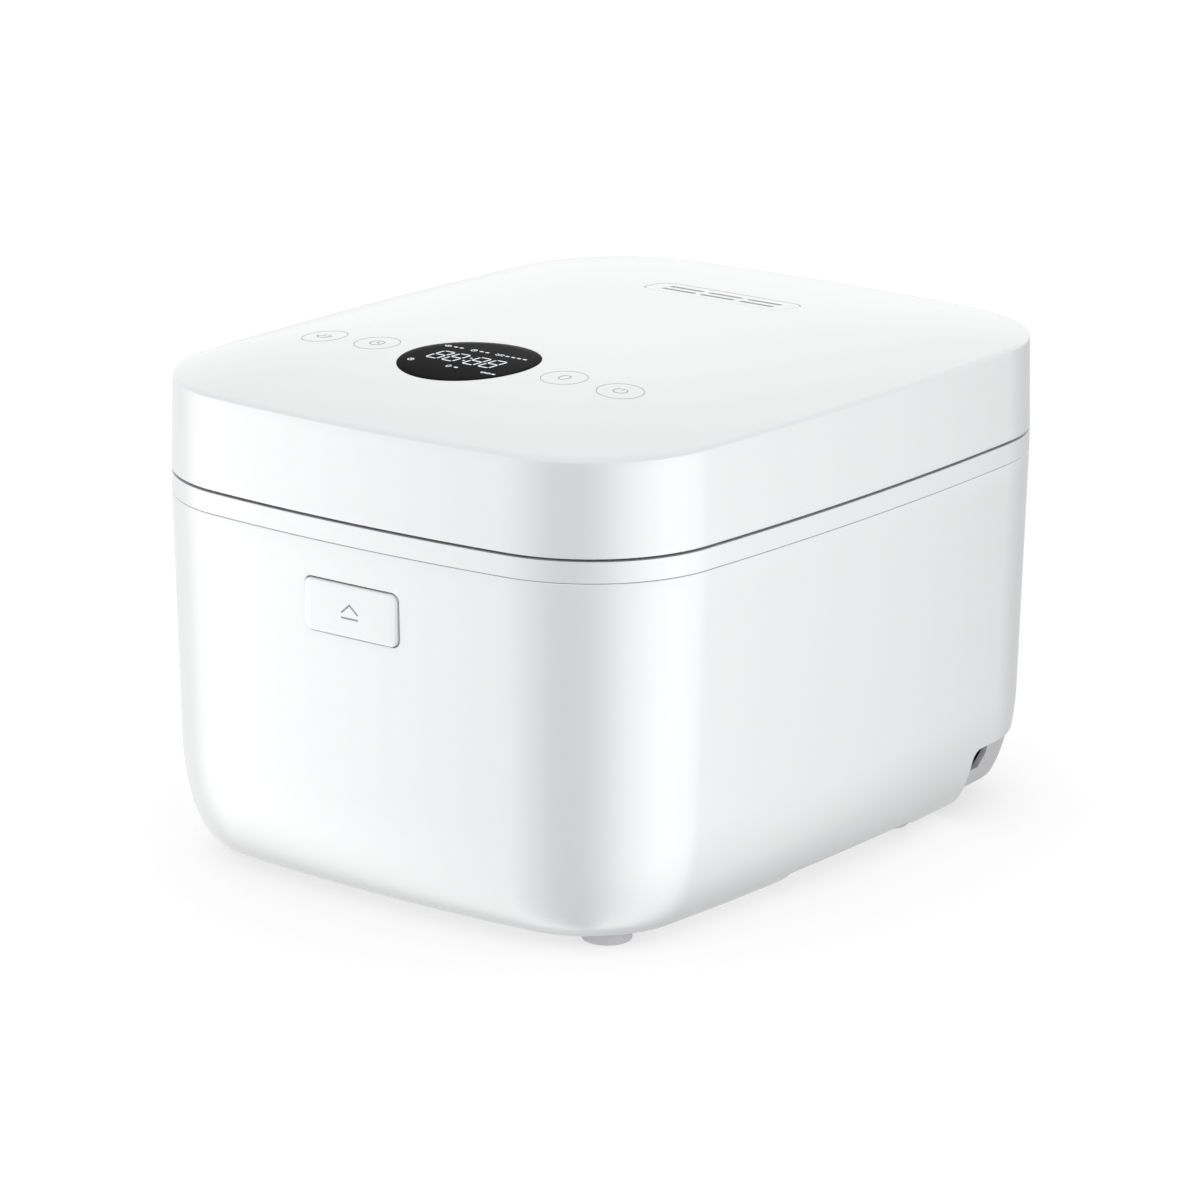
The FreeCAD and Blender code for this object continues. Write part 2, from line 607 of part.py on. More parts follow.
# ---- all nodes --------------------------------------------------------------------------------------------
nodes = {
    "outer_shell": outer_shell(),
    "deck": deck(),
    "base_plate": base_plate(),
    "rear_housing": rear_housing(),
    "inlet_socket": inlet_socket(),
    "inlet_pin_live": inlet_pin(-7, 17),
    "inlet_pin_neutral": inlet_pin(7, 17),
    "inlet_pin_earth": inlet_pin(0, 21),
    "heat_shield": heat_shield(),
    "heating_plate": heating_plate(),
    "heating_element": heating_element(),
    "thermal_fuse": thermal_fuse(),
    "sensor_bracket": sensor_bracket(),
    "sensor_cap": sensor_cap(),
    "sensor_spring": tube(9, 7, 14.5, 30.9, 0, POT_Y),
    "inner_pot": inner_pot(),
    "rim_gasket": tube(DECK_MOUTH_R - 0.9, 98.8, 152.3, POT_RIM_Z, 0, POT_Y),
    "power_board": power_board(),
    "transformer": transformer(),
    "relay": box(6, 25, -135, -118.8, 32, 47),
    "capacitor": rod_y(8, -141, -118.8, 38, 44),
    "heat_sink": heat_sink(),
    "hinge_knuckle_left": hinge_knuckle(-1),
    "hinge_knuckle_right": hinge_knuckle(1),
    "hinge_pin": rod_x(PIN_R, -66, 66, HINGE_Y, HINGE_Z),
    "hinge_spring_left": hinge_spring(-1),
    "hinge_spring_right": hinge_spring(1),
    "hinge_plate": hinge_plate(),
    "release_button": release_button(),
    "latch_hook": latch_hook(),
    "latch_pin": rod_x(PIN_R, -12, 12, LATCH_Y, LATCH_Z),
    "latch_spring": rod_y(3.6, -134.9, -125.1, 0, 122).cut(rod_y(2.8, -136, -124, 0, 122)),
    "striker": striker(),
    "lid_shell": lid_shell(),
    "lid_frame": lid_frame(),
    "display_window": display_window(),
    "display_module": display_module(),
    "touch_board": touch_board(),
    "inner_lid_plate": inner_lid_plate(),
    "lid_seal": lid_seal(),
    "inner_lid_clip": inner_lid_clip(),
    "lid_thermistor": lid_thermistor(),
    "steam_well": steam_well(),
    "steam_grommet": tube(13, 8, 156.4, LID_BOTTOM_Z, 0, VENT_Y),
    "steam_cap": steam_cap(),
    "steam_baffle": steam_baffle(),
}
for name, (x, y) in FOOT_PLACES.items():
    nodes[name] = foot(x, y)
for number, (x, y) in enumerate(post_places(), 1):
    nodes["plate_post_%d" % number] = plate_post(x, y)
    nodes["base_screw_%d" % number] = base_screw(x, y)
for number, x in enumerate(KEY_X, 1):
    nodes["touch_pad_%d" % number] = cylinder(6, 197.6, 206.6, x, KEY_Y)

for name, shape in nodes.items():
    shape.exportStep("parts/%s.step" % name)
    solids = len(shape.Solids)
    print("%-22s valid=%s solids=%d volume=%.0f" % (name, shape.isValid(), solids, shape.Volume))
print(len(nodes), "nodes")
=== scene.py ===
"""Electric rice cooker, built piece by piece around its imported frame. Sizes are in millimetres times MM."""

import bmesh
import bpy
import numpy as np
from mathutils import Matrix


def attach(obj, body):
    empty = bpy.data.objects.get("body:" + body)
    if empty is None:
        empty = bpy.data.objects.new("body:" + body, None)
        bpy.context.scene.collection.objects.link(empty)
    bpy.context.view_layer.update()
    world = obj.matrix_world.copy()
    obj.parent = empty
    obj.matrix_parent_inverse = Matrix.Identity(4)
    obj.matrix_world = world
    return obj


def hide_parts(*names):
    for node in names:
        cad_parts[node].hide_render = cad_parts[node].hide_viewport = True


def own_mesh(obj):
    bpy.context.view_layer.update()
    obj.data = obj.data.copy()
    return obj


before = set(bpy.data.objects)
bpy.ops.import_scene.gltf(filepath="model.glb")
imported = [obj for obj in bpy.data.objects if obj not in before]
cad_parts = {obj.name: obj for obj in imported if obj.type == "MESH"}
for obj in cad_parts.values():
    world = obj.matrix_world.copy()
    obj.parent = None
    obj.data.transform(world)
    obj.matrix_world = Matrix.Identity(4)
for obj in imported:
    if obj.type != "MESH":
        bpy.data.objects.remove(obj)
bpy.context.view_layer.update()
MM = 0.001

# ---- Camera ---------------------------------------------------------------------------------------
# A long lens from the front right, a little above the lid, with a slight roll.
view_turn = np.radians(37.51)
view_rise = np.radians(15.88)
view_roll = np.radians(0.3)
camera_place = (1.29365, -1.69006, 0.69903)
camera = bpy.data.objects.new("camera", bpy.data.cameras.new("camera"))
camera.data.lens = 161.7
camera.data.sensor_width = 36
camera.data.clip_end = 30
camera.matrix_world = (Matrix.Translation(camera_place) @ Matrix.Rotation(view_turn, 4, "Z")
                       @ Matrix.Rotation(np.pi / 2 - view_rise, 4, "X") @ Matrix.Rotation(view_roll, 4, "Z"))
bpy.context.scene.collection.objects.link(camera)
bpy.context.scene.camera = camera


# ---- Outer shell ----------------------------------------------------------------------------------
# One injection moulding in white plastic with a satin gloss. Its plan is eight tangent arcs, it
# leans in slightly towards the floor, and its lower edge rolls under in a quarter ellipse.
half_width = 131 * MM
half_depth = 163 * MM
end_bow = 11.2 * MM
side_bow = 8.7 * MM
corner_radius = 59.5 * MM
wall = 2.4 * MM
shell_bottom = 4.5 * MM
shell_top = 150.9 * MM
shell_taper = 0.025
roll_in = 16 * MM
roll_up = 44 * MM
base_opening_inset = 46 * MM
notch_y = 88 * MM
notch_z = 31 * MM
grip_x = 92 * MM
grip_y = (-33 * MM, 57 * MM)
grip_z = 9 * MM
grip_slope = 8 * MM
shell_edge_radius = 0.35 * MM
end_radius = (half_width ** 2 + end_bow ** 2) / (2 * end_bow)
side_radius = (half_depth ** 2 + side_bow ** 2) / (2 * side_bow)


def corner_centre():
    """Centre of the front right corner arc, where circles of the reduced end and side radii cross."""
    end = np.array([0, end_radius - half_depth])
    side = np.array([half_width - side_radius, 0])
    gap = np.linalg.norm(side - end)
    reach_end = end_radius - corner_radius
    reach_side = side_radius - corner_radius
    along = (reach_end ** 2 - reach_side ** 2 + gap ** 2) / (2 * gap)
    unit = (side - end) / gap
    return end + unit * along + np.array([-unit[1], unit[0]]) * np.sqrt(reach_end ** 2 - along ** 2)


def plan_arcs(on_end=40, on_side=48, on_corner=28):
    """The plan outline as arrays of arc centre, arc radius and unit direction, one per point, from the middle
    of the front counter-clockwise. A point is centre + (radius - inset) * direction. The front right quarter
    is made of its three arcs and mirrored twice."""
    corner = corner_centre()
    end = np.array([0, end_radius - half_depth])
    side = np.array([half_width - side_radius, 0])
    to_end = np.arctan2(*(corner - end)[::-1])
    to_side = np.arctan2(*(corner - side)[::-1])
    runs = [(end, end_radius, np.linspace(-np.pi / 2, to_end, on_end, endpoint=False)),
            (corner, corner_radius, np.linspace(to_end, to_side, on_corner, endpoint=False)),
            (side, side_radius, np.linspace(to_side, 0, on_side, endpoint=False))]
    quarter = np.concatenate([
        np.column_stack([np.tile([*centre, radius], (len(angle), 1)), np.cos(angle), np.sin(angle)])
        for centre, radius, angle in runs])
    half = np.concatenate([quarter, [[*side, side_radius, 1, 0]], quarter[:0:-1] * [1, -1, 1, 1, -1]])
    whole = np.concatenate([half, [[*-end, end_radius, 0, 1]], half[:0:-1] * [-1, 1, 1, -1, 1]])
    return whole[:, :2], whole[:, 2], whole[:, 3:]


cooker_plan = plan_arcs()


def offset(loop, inset):
    """The loop moved inwards: arc centre + (arc radius - inset) * direction."""
    centre, radius, direction = loop
    return centre + (radius - inset)[:, None] * direction


def rings(loop, profile):
    """One ring of points for each (inset, height) pair of a profile."""
    return np.stack([np.column_stack([offset(loop, inset), np.full(len(loop[1]), height)])
                     for inset, height in profile])


def arc(centre, radius, start, stop, steps=5):
    """Points of an arc as (a, b) pairs: centre + radius * (cos, sin) of angles in degrees."""
    angle = np.radians(np.linspace(start, stop, steps + 1))
    return [(centre[0] + radius * c, centre[1] + radius * s) for c, s in zip(np.cos(angle), np.sin(angle))]


def skinned(points, ends="caps"):
    """Joins closed rings of points, an array (rings, points around, 3), into one closed surface of vertices
    and faces. Its ends get a middle point each, or with ends="loop" the last ring joins the first. Faces are
    turned outwards by the sign of the enclosed volume."""
    count, around = points.shape[:2]
    vertices = points.reshape(-1, 3)
    row = np.arange(count if ends == "loop" else count - 1)[:, None]
    column = np.arange(around)[None]
    beside = (column + 1) % around
    above = (row + 1) % count
    quads = np.stack([row * around + column, row * around + beside,
                      above * around + beside, above * around + column], -1).reshape(-1, 4)
    triangles = np.concatenate([quads[:, [0, 1, 2]], quads[:, [0, 2, 3]]])
    fans = np.empty((0, 3), int)
    if ends == "caps":
        vertices = np.concatenate([vertices, points[:1].mean(1), points[-1:].mean(1)])
        column, beside = column[0], beside[0]
        low = np.stack([np.full(around, count * around), beside, column], 1)
        high = np.stack([np.full(around, count * around + 1), column, beside], 1)
        high[:, 1:] += (count - 1) * around
        fans = np.concatenate([low, high])
        triangles = np.concatenate([triangles, fans])
    a, b, c = (vertices[triangles[:, k]] for k in range(3))
    faces = quads.tolist() + fans.tolist()
    if np.einsum("ij,ij->", a, np.cross(b, c)) < 0:
        faces = [face[::-1] for face in faces]
    return vertices, faces


def joined(name, *parts):
    """One object from several closed surfaces."""
    vertices = np.concatenate([part[0] for part in parts])
    starts = np.cumsum([0] + [len(part[0]) for part in parts])
    faces = [[start + k for k in face] for start, part in zip(starts.tolist(), parts) for face in part[1]]
    mesh = bpy.data.meshes.new(name)
    mesh.from_pydata(vertices.tolist(), [], faces)
    piece = bpy.data.objects.new(name, mesh)
    bpy.context.scene.collection.objects.link(piece)
    return piece


def skin(name, points):
    """One object from closed rings of points."""
    return joined(name, skinned(points))


def cut(piece, *cutters):
    """Takes the cutters' volumes out of a piece and bakes the result into its mesh."""
    for cutter in cutters:
        step = piece.modifiers.new("cut", "BOOLEAN")
        step.operation = "DIFFERENCE"
        step.solver = "EXACT"
        step.object = cutter
    ready = piece.evaluated_get(bpy.context.evaluated_depsgraph_get())
    mesh = bpy.data.meshes.new_from_object(ready)
    piece.modifiers.clear()
    piece.data = mesh
    for cutter in cutters:
        bpy.data.objects.remove(cutter)
    return piece


def carried(outline, low, high, axis="z", rounding=0.0):
    """A flat outline of (u, v) points carried from low to high along an axis. With a rounding its ends close
    in towards the middle through a quarter circle."""
    flat = np.array(outline, float)
    middle = (flat.min(0) + flat.max(0)) / 2
    half = (flat.max(0) - flat.min(0)) / 2
    order = {"x": (2, 0, 1), "y": (0, 2, 1), "z": (0, 1, 2)}[axis]
    turn = np.radians((0, 30, 60, 90)) if rounding else np.zeros(1)
    steps = [(rounding * (1 - np.sin(t)), low + rounding * (1 - np.cos(t))) for t in turn]
    steps += [(inset, low + high - height) for inset, height in steps[::-1]]
    layers = [np.column_stack([middle + (flat - middle) * (1 - inset / half), np.full(len(flat), height)])
              for inset, height in steps]
    return skinned(np.stack(layers)[:, :, order])


def prism(name, outline, low, high, axis="z"):
    """One object: a flat outline carried straight along an axis."""
    return joined(name, carried(outline, low, high, axis))


def rolled_body(extra, bottom, top):
    """Profile of the outer shell. Below, a quarter ellipse: roll_in * (1 - cos) inwards at rise * (1 - sin)
    up. Above it, a wall that leans in by the taper times its distance below the top."""
    rise = shell_bottom + roll_up - bottom
    turn = np.radians(np.linspace(90, 0, 19))
    height = bottom + rise * (1 - np.sin(turn))
    inset = extra + shell_taper * (shell_top - height) + roll_in * (1 - np.cos(turn))
    upright_z = np.linspace(bottom + rise, top, 12)[1:]
    return list(zip(inset, height)) + [(extra + shell_taper * (shell_top - z), z) for z in upright_z]


def edged(profile, radius):
    """Rounds the last corner of a wall profile before its flat end."""
    inset, top = profile[-1]
    kept = [(i, z) for i, z in profile if z < top - radius]
    return kept + arc((inset + radius, top - radius), radius, 180, 90)


def grip_space(name, extra, side):
    """Finger space under one lower side edge, with sloping ends."""
    low, high = -1 * MM, grip_z + extra
    y0, y1 = grip_y
    outline = [(y0 - grip_slope - extra, low), (y1 + grip_slope + extra, low),
               (y1 + extra, high), (y0 - extra, high)]
    x = sorted((side * (grip_x - extra), side * 150 * MM))
    return prism(name, outline, *x, axis="x")


def notch_space(name, extra):
    """The cut-away of the rear lower edge, rounded at its inner upper corner."""
    radius = 5 * MM + extra
    y, z = notch_y - extra, notch_z + extra
    corner = arc((y + radius, z - radius), radius, 180, 90, 8)
    outline = [(180 * MM, z), (180 * MM, -1 * MM), (y, -1 * MM)] + corner
    return prism(name, outline, -150 * MM, 150 * MM, axis="x")


def rounded_rectangle(half_u, half_v, radius, on_corner=8):
    """A rounded rectangle as arc centres, radii and directions."""
    angle = np.radians(np.linspace(0, 90, on_corner + 1))
    quarter = [angle + k * np.pi / 2 for k in range(4)]
    signs = ((1, 1), (-1, 1), (-1, -1), (1, -1))
    centre = np.concatenate([np.tile((u * (half_u - radius), v * (half_v - radius)), (on_corner + 1, 1))
                             for u, v in signs])
    direction = np.concatenate([np.stack([np.cos(q), np.sin(q)], 1) for q in quarter])
    return centre, np.full(len(centre), radius), direction


button_z = 125 * MM
button_half = (23.2 * MM, 10.5 * MM)
button_corner = 3 * MM
button_gap = 0.5 * MM
well_flare = 0.15 * MM
well_depth = 8 * MM


def front_y(x, inset):
    """The front wall's y at x: the end arc's centre less the chord height of the reduced radius."""
    return end_radius - half_depth - np.sqrt((end_radius - inset) ** 2 - x ** 2)


def button_well(name):
    """The button's opening, with its rim rounded by the flare where it meets the front wall."""
    half_u, half_v = (half + button_gap for half in button_half)
    steps = [(-well_flare, -3 * MM), (-well_flare, 0)]
    steps += [(-well_flare * (1 - np.sin(t)), well_flare * (1 - np.cos(t)))
              for t in np.radians((25, 45, 65, 90))]
    steps += [(0, well_depth)]
    layers = []
    for inset, inward in steps:
        x, z = offset(rounded_rectangle(half_u, half_v, button_corner + button_gap), inset).T
        z = z + button_z
        y = front_y(x, shell_taper * (shell_top - z)) + inward
        layers.append(np.column_stack([x, y, z]))
    return skin(name, np.stack(layers))


def opening_space(name, inset, y_stop):
    """The base opening: the plan outline moved inwards and stopped short of the rear notch."""
    x, y = offset(cooker_plan, inset).T
    flat = np.column_stack([x, np.minimum(y, y_stop)])
    return prism(name, flat, -1 * MM, shell_bottom + wall + 0.5 * MM)


wall_profile = edged(rolled_body(0, shell_bottom, shell_top), shell_edge_radius)
outside = skin("shell_outer", rings(cooker_plan, wall_profile))
cut(outside, notch_space("notch", 0), grip_space("grip_a", 0, 1), grip_space("grip_b", 0, -1))
inside = skin("shell_space", rings(cooker_plan, rolled_body(wall, shell_bottom + wall, shell_top + 1 * MM)))
cut(inside, notch_space("notch", wall), grip_space("grip_a", wall, 1), grip_space("grip_b", wall, -1))
shell = cut(outside, inside, opening_space("base_opening", base_opening_inset, notch_y - 4 * MM),
            button_well("button_well"))
shell.name = "shell_moulding"


class Wire:
    """A socket in shader arithmetic: an expression on wires adds its Math nodes to the material."""

    def __init__(self, paint, socket):
        self.paint = paint
        self.socket = socket

    def math(self, operation, *values):
        """One Math node on wires or plain numbers."""
        return self.paint.node("ShaderNodeMath", {"operation": operation}, dict(enumerate(values)))

    def __add__(self, other):
        return self.math("ADD", self, other)

    __radd__ = __add__

    def __sub__(self, other):
        return self.math("SUBTRACT", self, other)

    def __rsub__(self, other):
        return self.math("SUBTRACT", other, self)

    def __mul__(self, other):
        return self.math("MULTIPLY", self, other)

    __rmul__ = __mul__


class Graph:
    """A node tree under construction. node() takes a node type, its settings, then its values and links."""

    def __init__(self, tree):
        self.tree = tree

    def node(self, kind, settings, inputs, output=0):
        made = self.tree.nodes.new(kind)
        for key, value in settings.items():
            if key == "stops":
                ramp = made.color_ramp
                while len(ramp.elements) < len(value):
                    ramp.elements.new(0.5)
                for element, (place, level) in zip(ramp.elements, value):
                    element.position = place
                    element.color = (level, level, level, 1)
            else:
                setattr(made, key, value)
        for key, value in inputs.items():
            if isinstance(value, Wire):
                self.tree.links.new(value.socket, made.inputs[key])
            else:
                made.inputs[key].default_value = value
        return Wire(self, made.outputs[output])

    def blend(self, factor, first, second):
        """The first colour at factor 0, the second at 1."""
        inputs = {"Factor": factor, 6: first, 7: second}
        return self.node("ShaderNodeMix", {"data_type": "RGBA"}, inputs, 2)

    def split(self, vector):
        """The x, y and z of a vector."""
        parts = self.node("ShaderNodeSeparateXYZ", {}, {0: vector})
        return [Wire(self, socket) for socket in parts.socket.node.outputs]

    def between(self, value, low, high):
        """Rises smoothly from 0 to 1 as the value goes from low to high."""
        settings = {"interpolation_type": "SMOOTHSTEP"}
        return self.node("ShaderNodeMapRange", settings, {"Value": value, "From Min": low, "From Max": high})


class Paint(Graph):
    """A material under construction around its Principled shader."""

    def __init__(self, name, **constants):
        self.material = bpy.data.materials.new(name)
        self.material.use_nodes = True
        super().__init__(self.material.node_tree)
        self.shader = self.tree.nodes["Principled BSDF"]
        for key, value in constants.items():
            self.shader.inputs[key.replace("_", " ")].default_value = value

    def place(self):
        """The point in the object's own metres."""
        return self.node("ShaderNodeTexCoord", {}, {}, "Object")

    def noise(self, scale, detail=3.0, roughness=0.5, vector=None):
        inputs = {"Vector": vector or self.place(), "Scale": scale, "Detail": detail, "Roughness": roughness}
        return self.node("ShaderNodeTexNoise", {}, inputs)

    def feed(self, **links):
        """Links wires to the shader's inputs of the same names."""
        for key, wire in links.items():
            self.tree.links.new(wire.socket, self.shader.inputs[key.replace("_", " ")])

    def tint(self, tone, dark, light, gloss, spread):
        """Colour from dark to light, and roughness from gloss upwards by the spread, both led by a tone."""
        colour = self.blend(tone, (*dark, 1), (*light, 1))
        self.feed(Base_Color=colour, Roughness=gloss + spread * tone)

    def bump(self, height, distance):
        """Relief of the given height over the given distance in metres."""
        inputs = {"Height": height, "Distance": distance, "Strength": 1.0}
        self.feed(Normal=self.node("ShaderNodeBump", {}, inputs))


def toned(colour, factor):
    """A colour made lighter or darker by a factor, with full opacity."""
    return tuple(min(1.0, c * factor) for c in colour) + (1.0,)


def moulded(name, colour, gloss, spread, grain, **constants):
    """Moulded plastic: a faint drift of tone from the melt's flow, and a fine grain that breaks the gloss."""
    paint = Paint(name, **constants)
    drift = paint.noise(14.0, 2.0)
    paint.feed(Base_Color=paint.blend(drift, toned(colour, 1 - spread), toned(colour, 1 + spread)))
    speck = paint.noise(2600.0, 2.0)
    paint.feed(Roughness=gloss + 0.05 * (drift - 0.5) + 0.06 * (speck - 0.5))
    paint.bump(speck, grain)
    return paint.material


def fitted(piece, material, body, slot, node=None, sharp=32):
    """Shades a piece smoothly except at edges over an angle in degrees, gives it its material and body, and
    hides the frame part of the node that it stands for. The slot is not used."""
    piece.data.shade_smooth()
    piece.data.set_sharp_from_angle(angle=np.radians(sharp))
    piece.data.materials.clear()
    piece.data.materials.append(material)
    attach(piece, body)
    if node:
        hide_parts(node)


white = (0.655, 0.66, 0.668)
shell_white = moulded("white_satin_plastic", white, 0.38, 0.006, 0.000004, Coat_Weight=1.0, Coat_IOR=1.9,
                      Coat_Roughness=0.2)
fitted(shell, shell_white, "cooker_body", "shell_white", "outer_shell")

# ---- Lid shell ------------------------------------------------------------------------------------
# A second white moulding: a drafted side wall, a small rounding at its upper edge, and a pillow top
# that is flat in the middle and falls towards the rear. It is open for the window, vent and hinge.
lid_bottom = 160.5 * MM
lid_edge = 199 * MM
lid_draft = 0.97 * MM
dome_rise = 11.5 * MM
dome_tilt = -0.0287
dome_power = 3.7
edge_rounding = 1.5 * MM
lid_foot_radius = 0.5 * MM


def dome_ring(scale, drop=0.0, extra=0.0):
    """A ring of the top: the plan outline scaled about the middle, at
    edge + (1 - scale ** power) * (rise + tilt * y)."""
    flat = offset(cooker_plan, lid_draft + extra) * scale
    share = 1 - scale ** dome_power
    return np.column_stack([flat, lid_edge - drop + share * (dome_rise + dome_tilt * flat[:, 1])])


plan_rim = offset(cooker_plan, lid_draft)
rim_angle = np.arctan2(plan_rim[:, 1], plan_rim[:, 0])
rim_order = np.argsort(rim_angle)
rim_angle = rim_angle[rim_order]
rim_reach = np.linalg.norm(plan_rim, axis=1)[rim_order]


def dome_height(x, y):
    """The top's height at a place: the same formula with scale = distance / rim distance in its direction."""
    reach = np.interp(np.arctan2(y, x), rim_angle, rim_reach, period=2 * np.pi)
    share = 1 - (np.hypot(x, y) / reach) ** dome_power
    return lid_edge + share * (dome_rise + dome_tilt * y)


def lid_skin(name, extra, drop, bottom, rounding):
    """The lid's closed form. The side wall leans in evenly with height. The upper edge is the quadratic curve
    (1 - t)^2 * wall + 2 t (1 - t) * corner + t^2 * top, and the pillow top is made of dome_ring() rings."""
    edge = lid_edge - drop

    def side(height):
        return lid_draft * (height - lid_bottom) / (lid_edge - lid_bottom) + extra

    foot_centre = (side(bottom) + lid_foot_radius, bottom + lid_foot_radius)
    low = rings(cooker_plan, arc(foot_centre, lid_foot_radius, 270, 180, 4))
    wall_z = np.linspace(bottom + 2 * MM, edge - rounding, 10)
    sides = rings(cooker_plan, [(side(z), z) for z in wall_z])
    start = sides[-1]
    corner = rings(cooker_plan, [(side(edge), edge)])[0]
    inner_scale = 1 - rounding / half_width
    finish = dome_ring(inner_scale, drop, extra)
    t = np.linspace(0, 1, 8)[1:, None, None]
    curve = (1 - t) ** 2 * start + 2 * t * (1 - t) * corner + t ** 2 * finish
    scales = np.linspace(inner_scale, 0.02, 46)[1:]
    top = np.stack([dome_ring(s, drop, extra) for s in scales])
    return skin(name, np.concatenate([low, sides, curve, top]))


vent_y = 77.5 * MM
vent_half = (36 * MM, 9.5 * MM)
vent_corner = 6 * MM
window_y = -89.7 * MM
window_radius = 28.5 * MM
hinge_y = 157.5 * MM
hinge_z = 158 * MM
hinge_sweep = 6.4 * MM


def circle(radius, around=96):
    """A circle as arc centres, radii and directions: radius * (cos, sin) of evenly spaced angles."""
    angle = np.linspace(0, 2 * np.pi, around, endpoint=False)
    return np.zeros((around, 2)), np.full(around, radius), np.stack([np.cos(angle), np.sin(angle)], 1)


def placed(loop, x, y):
    """The loop's centre points moved sideways."""
    centre, radius, direction = loop
    return centre + [x, y], radius, direction


vent_loop = placed(rounded_rectangle(*vent_half, vent_corner), 0, vent_y)
window_loop = placed(circle(window_radius), 0, window_y)
lid = lid_skin("lid_moulding", 0, 0, lid_bottom, edge_rounding)
lid_space = lid_skin("lid_space", wall, wall, lid_bottom - 1 * MM, edge_rounding)
window_hole = prism("window_hole", offset(window_loop, 3 * MM), 190 * MM, 220 * MM)
vent_hole = prism("vent_hole", offset(vent_loop, -0.3 * MM), 190 * MM, 220 * MM)
hinge_round = arc((hinge_y, hinge_z), hinge_sweep, 0, 360, 47)[:-1]
hinge_hole = prism("hinge_hole", hinge_round, -72 * MM, 72 * MM, axis="x")


def dome_block(name, loop, deep, lift):
    """A block over a loop: the loop scaled about its middle, at the dome's height less deep and plus lift."""
    flat = offset(loop, 0)
    middle = flat.mean(0)
    layers = []
    for height, scales in ((-deep, np.linspace(0.05, 1, 10)), (lift, np.linspace(1, 0.05, 10))):
        for scale in scales:
            x, y = (middle + (flat - middle) * scale).T
            layers.append(np.column_stack([x, y, dome_height(x, y) + height]))
    return skin(name, np.stack(layers))


window_gap = 0.15 * MM
window_seat_depth = 2.05 * MM
seat_loop = placed(circle(window_radius + window_gap), 0, window_y)
window_seat = dome_block("window_seat", seat_loop, window_seat_depth, 6 * MM)
cut(lid, lid_space, window_hole, window_seat, vent_hole, hinge_hole)
fitted(lid, shell_white, "lid", "shell_white", "lid_shell")

# ---- Display window and its lit signs --------------------------------------------------------------
# A smoked acrylic disc let flush into the lid. The sign segments are light guides behind it, shown here
# as thin lit strips on its face.
digit_width = 5.4 * MM
digit_height = 10.6 * MM
digit_slant = 0.12
digit_left = (-17.6 * MM, -9.7 * MM, 0.7 * MM, 8.6 * MM)
digit_foot = window_y - 5.6 * MM
segment_gap = 0.5 * MM
segment_width = 0.75 * MM
window_thickness = 2 * MM
strip_sink = 0.05 * MM
strip_lift = 0.04 * MM


def dome_plate(loop, foot, rounding, top_drop=0.0):
    """A closed block over a loop: a flat or domed foot, an upright side, a rounded edge as a quarter circle,
    and a top that follows the dome."""
    middle = offset(loop, 0).mean(0)
    layers = []
    for inset, drop in [(0, None)] + arc((rounding, -rounding), rounding, 180, 90, 4):
        x, y = offset(loop, inset).T
        height = foot(x, y) if drop is None else dome_height(x, y) + drop - top_drop
        layers.append(np.column_stack([x, y, height]))
    flat = offset(loop, rounding)
    for scale in np.linspace(1, 0.04, 9)[1:]:
        x, y = (middle + (flat - middle) * scale).T
        layers.append(np.column_stack([x, y, dome_height(x, y) - top_drop]))
    return skinned(np.stack(layers))


def on_lid(u, v, lift):
    """A place on the lid's top."""
    return np.column_stack([u, v, dome_height(u, v) + lift])


def stroke(points, width, place, closed=False):
    """A thin flat strip along a line of (u, v) points: each point is moved half the width to both sides along
    the mean of its neighbours' normals, below and above the surface that place() describes."""
    line = np.array(points, float)
    ahead = np.roll(line, -1, 0) - line
    behind = line - np.roll(line, 1, 0)
    if not closed:
        ahead[-1] = behind[-1]
        behind[0] = ahead[0]
    ahead /= np.linalg.norm(ahead, axis=1)[:, None]
    behind /= np.linalg.norm(behind, axis=1)[:, None]
    along = ahead + behind
    along /= np.linalg.norm(along, axis=1)[:, None]
    reach = width / 2 / np.maximum(np.einsum("ij,ij->i", along, ahead), 0.5)
    sideways = np.column_stack([-along[:, 1], along[:, 0]]) * reach[:, None]
    left, right = (line + sideways).T, (line - sideways).T
    ring = np.stack([place(*left, -strip_sink), place(*left, strip_lift), place(*right, strip_lift),
                     place(*right, -strip_sink)], 1)
    return skinned(ring, "loop" if closed else "caps")


def segment_digit(left, foot):
    """The seven strips of a digit, slanted by moving each point right by the slant times its height."""
    middle = digit_height / 2
    segments = (((0, 2), (1, 2)), ((1, 1), (1, 2)), ((1, 0), (1, 1)), ((0, 0), (1, 0)), ((0, 0), (0, 1)),
                ((0, 1), (0, 2)), ((0, 1), (1, 1)))
    strips = []
    for start, stop in segments:
        line = np.array([start, stop]) * [digit_width, middle]
        way = (line[1] - line[0]) / np.linalg.norm(line[1] - line[0])
        line = line + np.array([way * segment_gap, -way * segment_gap])
        line[:, 0] += left + digit_slant * line[:, 1]
        line[:, 1] += foot
        strips.append(stroke(line, segment_width, on_lid))
    return strips


def disc_outline(radius, u=0.0, v=0.0, squash=1.0, around=40):
    """Points of an ellipse: (u, v) + radius * (cos, squash * sin)."""
    angle = np.linspace(0, 2 * np.pi, around, endpoint=False)
    return np.column_stack([u + radius * np.cos(angle), v + radius * squash * np.sin(angle)])


